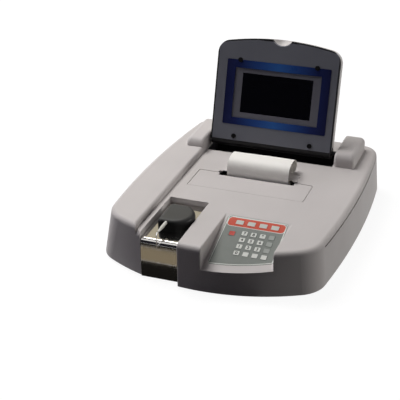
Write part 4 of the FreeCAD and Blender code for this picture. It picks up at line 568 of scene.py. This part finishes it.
def outside_box(finish, flat, x_range, y_range, corner):
    """How far a point is outside a rounded box, below 0 inside it; ranges and corner in millimetres."""
    middle = Vector(((x_range[0] + x_range[1]) / 2, (y_range[0] + y_range[1]) / 2, 0)) * MM
    core_half_width = (x_range[1] - x_range[0]) / 2 - corner
    core_half_length = (y_range[1] - y_range[0]) / 2 - corner
    core = Vector((core_half_width, core_half_length, 1 / MM)) * MM
    moved = vector_step(finish, "SUBTRACT", flat, middle)
    folded = vector_step(finish, "ABSOLUTE", moved)
    past = vector_step(finish, "SUBTRACT", folded, core)
    kept = vector_step(finish, "MAXIMUM", past, (0, 0, 0))
    return number_step(finish, "SUBTRACT", vector_step(finish, "LENGTH", kept), corner * MM)


def inside(finish, distance_socket, edge):
    """1 where a distance is below an edge in millimetres, else 0."""
    return number_step(finish, "LESS_THAN", distance_socket, edge * MM)


def print_over(finish, below, mask, colour):
    """A printed colour over what lies below, where its mask is 1."""
    mix = add_node(finish, "ShaderNodeMix", data_type="RGBA")
    link(finish, mask, mix.inputs["Factor"])
    link(finish, below, mix.inputs["A"])
    mix.inputs["B"].default_value = colour
    return mix.outputs["Result"]


# %% [markdown]
# Now the sheet itself is printed. Its outline is a rounded box cut by the long arc of the case's
# front, and the white line runs between two distances inside that outline. All of it is measured in
# millimetres on the keypad's slope, from its upper edge and the middle of the case.

# %% Keypad film
SHEET_ACROSS = (12.4, 114)
SHEET_DOWN = (-140, -3)
SHEET_CORNER = 4
ARC_MIDDLE = (0, 202.9 * MM, 0)
ARC_RADIUS = 312.8
LINE_OUTSIDE = -0.7
LINE_INSIDE = -2.3
BAND_ACROSS = (15.8, 111.4)
BAND_DOWN = (-24.6, -6.4)
BAND_CORNER = 6
BAND_OUTLINE = 1.1

film_white = screen_colour(222, 226, 220)
film_grey = screen_colour(126, 132, 126)
film_orange = screen_colour(206, 74, 46)
film = surface("keypad_film", film_grey, 0.42, shine=0.12)
flat_place = place_in_part(film, turn=(-PAD_SLOPE, 0, 0), shift=pad_shift)
sheet_edge = outside_box(film, flat_place, SHEET_ACROSS, SHEET_DOWN, SHEET_CORNER)
arc_place = vector_step(film, "MULTIPLY", flat_place, (1, 1, 0))
arc_place = vector_step(film, "SUBTRACT", arc_place, ARC_MIDDLE)
arc_edge = number_step(film, "SUBTRACT", vector_step(film, "LENGTH", arc_place), ARC_RADIUS * MM)
film_edge = number_step(film, "MAXIMUM", sheet_edge, arc_edge)
line_outer = inside(film, film_edge, LINE_OUTSIDE)
line_inner = inside(film, film_edge, LINE_INSIDE)
border = number_step(film, "SUBTRACT", line_outer, line_inner)
band_edge = outside_box(film, flat_place, BAND_ACROSS, BAND_DOWN, BAND_CORNER)
printed = mottle(film, 0.02, screen_colour(122, 128, 122), screen_colour(131, 136, 131))
printed = print_over(film, printed, inside(film, band_edge, BAND_OUTLINE), film_white)
printed = print_over(film, printed, inside(film, band_edge, 0.0), film_orange)
printed = print_over(film, printed, border, film_white)
link(film, printed, shader_of(film).inputs["Base Color"])
uneven_gloss(film, size=0.02, low=0.33, high=0.45)
grain(film, size=0.0007, depth=0.00002, strength=0.4)
dress(film, "keypad_overlay")
print("keypad film printed with", len(film.node_tree.nodes), "nodes")

# %% [markdown]
# ## The bezel's painted edge shade
# The lid's bezel is painted a dark blue grey, and a thin black line of painted shade runs along its
# edge, standing in for the dark gap round the bezel. The same arithmetic finds that line: straight
# sides, round corners, and a long arc along the top.

# %% Bezel edge
LID_ACROSS = (-108.5, 119.2)
LID_UP = (-60, 187)
LID_CORNER = 26
ARCH_MIDDLE = (5.35 * MM, -317.4 * MM, 0)
ARCH_RADIUS = 506
EDGE_SHADE_WIDTH = 2.8
PAINTED_EDGE_SHADE = (0.003, 0.003, 0.004, 1)

lid_turn = LID_TILT - pi / 2
lid_shift = Matrix.Rotation(lid_turn, 4, "X") @ -Vector(LID_FOOT)
lid_place = place_in_part(bezel, turn=(lid_turn, 0, 0), shift=lid_shift)
lid_sides = outside_box(bezel, lid_place, LID_ACROSS, LID_UP, LID_CORNER)
arch_place = vector_step(bezel, "MULTIPLY", lid_place, (1, 1, 0))
arch_place = vector_step(bezel, "SUBTRACT", arch_place, ARCH_MIDDLE)
lid_arch = number_step(bezel, "SUBTRACT", vector_step(bezel, "LENGTH", arch_place), ARCH_RADIUS * MM)
lid_edge = number_step(bezel, "MAXIMUM", lid_sides, lid_arch)
# Painted shade: a black band along the bezel's edge stands in for the dark gap round it.
away_from_edge_shade = inside(bezel, lid_edge, -EDGE_SHADE_WIDTH)
bezel_with_edge_shade = ramp(bezel, away_from_edge_shade, [(0.0, PAINTED_EDGE_SHADE), (1.0, bezel_colour)])
link(bezel, bezel_with_edge_shade, shader_of(bezel).inputs["Base Color"])
print("bezel edge drawn with", len(bezel.node_tree.nodes), "nodes")

# %% [markdown]
# ## Key fields
# Each key is a printed field of the film over a dome switch. Number keys are white with dark figures,
# the right column is greyer and the stop key is red. The field stops a little short of the key's
# edge, and a thin darker line inside it sets it off, drawn with the same rounded boxes.

# %% Key surfaces
KEY_HALF_WIDTH = 5.0
MENU_HALF_WIDTH = 6.75
KEY_HALF_LENGTH = 4.75
KEY_CORNER = 1.0
FIELD_EDGE = -0.45
PAST_THE_KEY = 5.0
RING_OUTSIDE = -1.2
RING_INSIDE = -1.7


def key_surface(name, colour, line_colour, middle, half_width, rim_colour=film_grey):
    """The print on one key: its field, a thin line inside its edge, and the sheet's colour round it."""
    finish = surface(name, colour, 0.45, shine=0.12)
    flat = place_in_part(finish, turn=(-PAD_SLOPE, 0, 0), shift=pad_shift)
    x_range = (middle[0] - half_width, middle[0] + half_width)
    y_range = (middle[1] - KEY_HALF_LENGTH, middle[1] + KEY_HALF_LENGTH)
    edge = outside_box(finish, flat, x_range, y_range, KEY_CORNER)
    ring_outer = inside(finish, edge, RING_OUTSIDE)
    ring_inner = inside(finish, edge, RING_INSIDE)
    ring = number_step(finish, "SUBTRACT", ring_outer, ring_inner)
    base = mottle(finish, 0.006, toned(colour, 0.96), toned(colour, 1.02))
    lined = print_over(finish, base, ring, line_colour)
    key_outer = inside(finish, edge, PAST_THE_KEY)
    field = inside(finish, edge, FIELD_EDGE)
    margin = number_step(finish, "SUBTRACT", key_outer, field)
    link(finish, print_over(finish, lined, margin, rim_colour), shader_of(finish).inputs["Base Color"])
    uneven_gloss(finish, size=0.01, low=0.34, high=0.46)
    grain(finish, size=0.0006, depth=0.00002, strength=0.4)
    return finish


# %% [markdown]
# The keys stand on a grid of four by four, with a row of four wider menu keys above and the stop key
# to the left. Their middles are given on the same slope.

# %% Keys
COLUMNS = [50.8 + 15.1 * step for step in range(4)]
ROWS = [-37.6 - 14 * step for step in range(4)]
MENU_COLUMNS = [35.5 + 19.9 * step for step in range(4)]
MENU_ROW = -15.8
STOP_PLACE = (30.5, -41.0)

key_white = screen_colour(226, 228, 222)
key_pale = screen_colour(205, 208, 200)
key_grey = screen_colour(160, 165, 160)
key_red = screen_colour(196, 60, 44)
line_grey = screen_colour(120, 124, 122)
key_grid = (("key_7", "key_8", "key_9", "key_yes"), ("key_4", "key_5", "key_6", "key_no"),
            ("key_1", "key_2", "key_3", "key_print"), ("key_0", "key_point", "key_clear", "key_enter"))
for row, names in zip(ROWS, key_grid):
    for column, name in zip(COLUMNS, names):
        colour = key_grey if name in ("key_yes", "key_no", "key_print") else key_white
        dress(key_surface(name + "_print", colour, line_grey, (column, row), KEY_HALF_WIDTH), name)
for number, column in enumerate(MENU_COLUMNS, 1):
    name = "menu_key_%d" % number
    menu_print = key_surface(name + "_print", key_pale, line_grey, (column, MENU_ROW),
                             MENU_HALF_WIDTH, film_orange)
    dress(menu_print, name)
stop_print = key_surface("stop_key_print", key_red, toned(key_red, 1.3), STOP_PLACE, KEY_HALF_WIDTH)
dress(stop_print, "stop_key")
print("keys dressed:", 4 * len(key_grid) + len(MENU_COLUMNS) + 1)

# %% [markdown]
# ## Figures on the keys
# The figures are part of the print, but they move with their keys, and letters are hard to draw with
# arithmetic. So each is typed as a text object, given a thickness of a few hundredths of a
# millimetre, turned into a mesh and laid on its key.

# %% Figures
FIGURE_HEIGHT = 7.6
INK_THICKNESS = 0.03
STROKE_WIDENING = 0.2
LIFT_OFF_KEY = 0.02

ink = surface("dark_ink", (0.012, 0.012, 0.014, 1), 0.6, shine=0.1)
mottle(ink, 0.002, (0.018, 0.019, 0.022, 1), (0.03, 0.031, 0.034, 1))
grain(ink, size=0.0004, depth=0.00001, strength=0.3)


def figure(sign, middle, key):
    """One printed figure on a key, which it moves with."""
    deselect()
    bpy.ops.object.text_add(location=(0, 0, 0))
    text = bpy.context.object
    text.data.body = sign
    text.data.size = FIGURE_HEIGHT * MM
    text.data.extrude = INK_THICKNESS * MM
    text.data.offset = STROKE_WIDENING * MM
    text.data.align_x = "CENTER"
    text.data.align_y = "CENTER"
    bpy.ops.object.convert(target="MESH")
    piece = bpy.context.object
    piece.name = "figure_" + sign
    key_face = far_face(key, pad_stand)
    piece.location = (middle[0] * MM, middle[1] * MM, key_face + LIFT_OFF_KEY * MM)
    bpy.ops.object.transform_apply(location=True, rotation=True, scale=True)
    place(piece, pad_stand)
    give(piece, ink, key + "_cap")


for row, names in zip(ROWS, key_grid):
    for column, name in zip(COLUMNS, names):
        sign = name.removeprefix("key_")
        if sign.isdigit():
            figure(sign, (column, row), name)

# %% [markdown]
# ## The paper
# The printed strip comes up through the slot, leans back and curls over, because paper remembers the
# roll that it came from. Seen from the side it is one line. So a single point is pulled from place to
# place along that line, and the line is then pulled across the strip in even steps.

# %% Paper sheet
PAPER_LINE = [(26.8, 63), (26.8, 72), (26.8, 80), (27, 88), (29.2, 97), (34.5, 103.6),
              (43, 107.6), (53.5, 108.8), (64, 107.8), (72.5, 104.2), (77.6, 97.6), (77.8, 90.4),
              (73, 85.2), (65, 83.2), (57.4, 85), (53.4, 90.4), (55, 96), (60, 98.6)]
PAPER_STEPS = 12

paper_low, paper_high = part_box("paper_strip")
paper_width = paper_high.x - paper_low.x


def pulled_line(name, places):
    """A line of edges through these places: one point, pulled from each place to the next."""
    deselect()
    bpy.ops.mesh.primitive_plane_add(size=1, location=(0, 0, 0))
    piece = bpy.context.object
    piece.name = name
    bpy.ops.object.mode_set(mode="EDIT")
    bpy.ops.mesh.select_all(action="SELECT")
    bpy.ops.mesh.merge(type="CENTER")
    bpy.ops.transform.translate(value=places[0])
    for here, there in zip(places, places[1:]):
        bpy.ops.mesh.extrude_vertices_move(TRANSFORM_OT_translate={"value": there - here})
    bpy.ops.object.mode_set(mode="OBJECT")
    return piece


def pull_across(piece, width, steps):
    """A line pulled along X into a sheet of even steps, its faces all turned one way."""
    pick(piece)
    bpy.ops.object.mode_set(mode="EDIT")
    bpy.ops.mesh.select_all(action="SELECT")
    for step in range(steps):
        bpy.ops.mesh.extrude_region_move(TRANSFORM_OT_translate={"value": (width / steps, 0, 0)})
    bpy.ops.mesh.select_all(action="SELECT")
    bpy.ops.mesh.normals_make_consistent(inside=False)
    bpy.ops.object.mode_set(mode="OBJECT")


paper_curl = pulled_line("paper_curl", [Vector((paper_low.x, y * MM, z * MM)) for y, z in PAPER_LINE])
pull_across(paper_curl, paper_width, PAPER_STEPS)
print("paper sheet of", len(paper_curl.data.polygons), "faces,", round(paper_width / MM, 1), "mm wide")

# %% [markdown]
# A sheet that is the same all the way across looks like bent metal. Paper waves a little, and more so
# the further it is from the slot, so two slow waves move its points up and back. The sheet is then
# rounded, given its thickness and smoothed.

# %% Paper curl
WAVE_START = 84
WAVE_HEIGHT = 24
RISE = 0.35
RISE_ACROSS = 5.2
RISE_ALONG = 60
SWAY = 0.3
SWAY_ACROSS = 3.6
SWAY_START = 0.6
PAPER_THICKNESS = 0.12

for vertex in paper_curl.data.vertices:
    across_share = (vertex.co.x - paper_low.x) / paper_width
    up_share = max(0.0, (vertex.co.z / MM - WAVE_START) / WAVE_HEIGHT)
    vertex.co.z += RISE * MM * up_share * sin(across_share * RISE_ACROSS + vertex.co.y * RISE_ALONG)
    vertex.co.y += SWAY * MM * up_share * sin(across_share * SWAY_ACROSS + SWAY_START)
rounding = paper_curl.modifiers.new("rounding", "SUBSURF")
rounding.levels = 2
rounding.render_levels = 2
wall = paper_curl.modifiers.new("wall", "SOLIDIFY")
wall.thickness = PAPER_THICKNESS * MM
pick(paper_curl)
bpy.ops.object.modifier_apply(modifier="rounding")
bpy.ops.object.modifier_apply(modifier="wall")
bpy.ops.object.shade_smooth_by_angle(angle=radians(50))
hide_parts("paper_strip")
give(paper_curl, paper, "base")
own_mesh(paper_curl)

# %% [markdown]
# ## The paper guide
# Behind the slot lies a thin plate that the paper slides over before it curls. It is moulded in the
# casing's plastic and stands a little proud of the deck, so it shows as a pale edge beside the paper.

# %% Paper guide
GUIDE_ACROSS = (-50, 83.5)
GUIDE_DEPTH = (34.5, 60)
GUIDE_HEIGHT = (79.9, 81.6)

paper_guide = slab("paper_guide", GUIDE_ACROSS, GUIDE_DEPTH, GUIDE_HEIGHT, 0.5)
pick(paper_guide)
bpy.ops.object.shade_smooth_by_angle(angle=radians(40))
give(paper_guide, casing, "base")

# %% [markdown]
# ## Backdrop
# A product photograph has a white sweep under soft, even light. Here the world is white where the
# camera or a mirror sees it and dim where it lights the instrument, so that a pale background does not
# wash out the dark front. What kind of ray arrives tells the two apart.

# %% World
WORLD_LIGHT = (0.9, 0.8, 1.0, 1)
WORLD_STRENGTH = 0.03


def seen_directly(tree):
    """1 for rays from the camera and for those that mirrors and glass send on, else 0."""
    path = tree.nodes.new("ShaderNodeLightPath")
    first = tree.nodes.new("ShaderNodeMath")
    first.operation = "MAXIMUM"
    tree.links.new(path.outputs["Is Camera Ray"], first.inputs[0])
    tree.links.new(path.outputs["Is Glossy Ray"], first.inputs[1])
    both = tree.nodes.new("ShaderNodeMath")
    both.operation = "MAXIMUM"
    tree.links.new(first.outputs["Value"], both.inputs[0])
    tree.links.new(path.outputs["Is Transmission Ray"], both.inputs[1])
    return both.outputs["Value"]


def backdrop_world():
    """White where it is seen, and a dim cool grey where it lights the object."""
    world = bpy.data.worlds.new("studio_world")
    world.use_nodes = True
    tree = world.node_tree
    lit = tree.nodes["Background"]
    lit.inputs["Color"].default_value = WORLD_LIGHT
    lit.inputs["Strength"].default_value = WORLD_STRENGTH
    shown = tree.nodes.new("ShaderNodeBackground")
    shown.inputs["Color"].default_value = (1, 1, 1, 1)
    shown.inputs["Strength"].default_value = 1
    mix = tree.nodes.new("ShaderNodeMixShader")
    tree.links.new(seen_directly(tree), mix.inputs["Fac"])
    tree.links.new(lit.outputs["Background"], mix.inputs[1])
    tree.links.new(shown.outputs["Background"], mix.inputs[2])
    tree.links.new(mix.outputs["Shader"], tree.nodes["World Output"].inputs["Surface"])
    bpy.context.scene.world = world


backdrop_world()
print("world:", bpy.context.scene.world.name)

# %% [markdown]
# ## Floor
# The floor is one large pale plane. To the camera, and in mirrors, it glows a little so that it reads
# as white, while the instrument's soft shadow stays. To the lamps it is dark, and throws little light
# back up.

# %% Floor
FLOOR_SIZE = 14
FLOOR_LIT = (0.03, 0.03, 0.032, 1)
FLOOR_SEEN = (0.15, 0.15, 0.15, 1)
FLOOR_GLOW = 0.92


def floor_surface():
    """Pale and glowing where it is seen, so that it reads as white, and dark where lamps light it."""
    finish = bpy.data.materials.new("studio_floor")
    finish.use_nodes = True
    tree = finish.node_tree
    tree.nodes.remove(tree.nodes["Principled BSDF"])
    matt = tree.nodes.new("ShaderNodeBsdfDiffuse")
    shade = tree.nodes.new("ShaderNodeMix")
    shade.data_type = "RGBA"
    shade.inputs["A"].default_value = FLOOR_LIT
    shade.inputs["B"].default_value = FLOOR_SEEN
    tree.links.new(seen_directly(tree), shade.inputs["Factor"])
    tree.links.new(shade.outputs["Result"], matt.inputs["Color"])
    glow = tree.nodes.new("ShaderNodeEmission")
    glow.inputs["Color"].default_value = (1, 1, 1, 1)
    strength = tree.nodes.new("ShaderNodeMath")
    strength.operation = "MULTIPLY"
    tree.links.new(seen_directly(tree), strength.inputs[0])
    strength.inputs[1].default_value = FLOOR_GLOW
    tree.links.new(strength.outputs["Value"], glow.inputs["Strength"])
    both = tree.nodes.new("ShaderNodeAddShader")
    tree.links.new(matt.outputs["BSDF"], both.inputs[0])
    tree.links.new(glow.outputs["Emission"], both.inputs[1])
    tree.links.new(both.outputs["Shader"], tree.nodes["Material Output"].inputs["Surface"])
    return finish


deselect()
bpy.ops.mesh.primitive_plane_add(size=FLOOR_SIZE, location=(0, 0, 0))
floor = bpy.context.object
floor.name = "studio_floor"
floor.data.materials.append(floor_surface())
print("floor", floor.name, "is", round(floor.dimensions.x, 1), "m across")

# %% [markdown]
# ## Lamps
# One large lamp hangs behind and to the left, where the tops of the instrument catch it, and the front
# stays darker. A long low lamp lights the right wall, and a weak cool one keeps the left wall from
# going black. Large lamps give soft edges to shadows.

# %% Lamps


def soft_lamp(name, place_from, aimed_at, size, power, colour):
    """A large soft lamp, aimed at a point."""
    lamp_data = bpy.data.lights.new(name, "AREA")
    lamp_data.shape = "RECTANGLE"
    lamp_data.size = size[0]
    lamp_data.size_y = size[1]
    lamp_data.energy = power
    lamp_data.color = colour
    lamp = bpy.data.objects.new(name, lamp_data)
    bpy.context.collection.objects.link(lamp)
    aim = Vector(aimed_at) - Vector(place_from)
    turn = aim.to_track_quat("-Z", "Y").to_matrix().to_4x4()
    lamp.matrix_world = Matrix.Translation(place_from) @ turn
    print(name, "of", power, "W stands at", place_from)


WARM_WHITE = (1.0, 0.985, 0.97)
WARMER_WHITE = (1.0, 0.98, 0.95)
COOL_WHITE = (0.9, 0.88, 1.0)

soft_lamp("key_lamp", (-1.1, 0.6, 2.3), (0, 0, 0), (1.5, 1.5), 60, WARM_WHITE)
soft_lamp("right_lamp", (2.5, 0.55, 0.42), (0, 0.05, 0.05), (1.2, 0.6), 19, WARMER_WHITE)
soft_lamp("left_lamp", (-2.5, -0.6, 0.9), (0, 0, 0.05), (1.0, 1.0), 11, COOL_WHITE)

# %% [markdown]
# ## Cards
# Polished steel and glass show what stands before them, so what they mirror is built too. Six cards
# hang round the instrument or lie on the floor, hidden from the camera and seen by mirrors alone. The
# front card darkens the glass and the plate, the three on the floor give the plate's face its black,
# tan and black bands, the one above draws the dark line along its bend, and the tan one behind
# colours its level part.

# %% Cards


def card(name, middle, facing, size, colour):
    """A card that only mirrors see: it is hidden from the camera and throws no light or shadow."""
    deselect()
    bpy.ops.mesh.primitive_plane_add(size=1)
    sheet = bpy.context.object
    sheet.name = name
    turn = (Vector(facing) - Vector(middle)).to_track_quat("Z", "Y").to_matrix().to_4x4()
    sheet.matrix_world = Matrix.Translation(middle) @ turn @ Matrix.Diagonal((size[0], size[1], 1, 1))
    bpy.ops.object.transform_apply(location=True, rotation=True, scale=True)
    finish = bpy.data.materials.new(name)
    finish.use_nodes = True
    tree = finish.node_tree
    tree.nodes.remove(tree.nodes["Principled BSDF"])
    glow = tree.nodes.new("ShaderNodeEmission")
    glow.inputs["Color"].default_value = colour
    tree.links.new(glow.outputs["Emission"], tree.nodes["Material Output"].inputs["Surface"])
    sheet.data.materials.append(finish)
    sheet.visible_camera = False
    sheet.visible_diffuse = False
    sheet.visible_shadow = False
    sheet.visible_transmission = False
    print(name, "measures", size[0], "by", size[1], "m")


def floor_card(name, middle, size, colour):
    """A card that lies on the floor and looks straight up."""
    card(name, middle, (middle[0], middle[1], 1.0), size, colour)


CARD_BLACK = (0.012, 0.011, 0.01, 1)
CARD_BLUE_BLACK = (0.02, 0.02, 0.025, 1)
CARD_TAN = (0.6, 0.55, 0.42, 1)
CARD_DEEP_TAN = (0.3, 0.25, 0.17, 1)

card("front_card", (-0.9, -2.9, 1.25), (0, 0.1, 0.15), (3.4, 3.4), CARD_BLUE_BLACK)
floor_card("low_card", (-0.1, -0.242, 0.002), (0.4, 0.058), CARD_BLACK)
floor_card("low_tan_card", (-0.11, -0.2975, 0.0025), (0.4, 0.053), CARD_DEEP_TAN)
floor_card("far_card", (-0.4, -0.662, 0.003), (1.4, 0.676), CARD_BLACK)
card("top_card", (-0.73, 0.08, 2.0), (-0.07, -0.2, 0.07), (0.9, 0.9), CARD_BLACK)
card("tan_card", (-1.1, 2.05, 1.55), (-0.07, -0.12, 0.07), (1.6, 1.3), CARD_TAN)
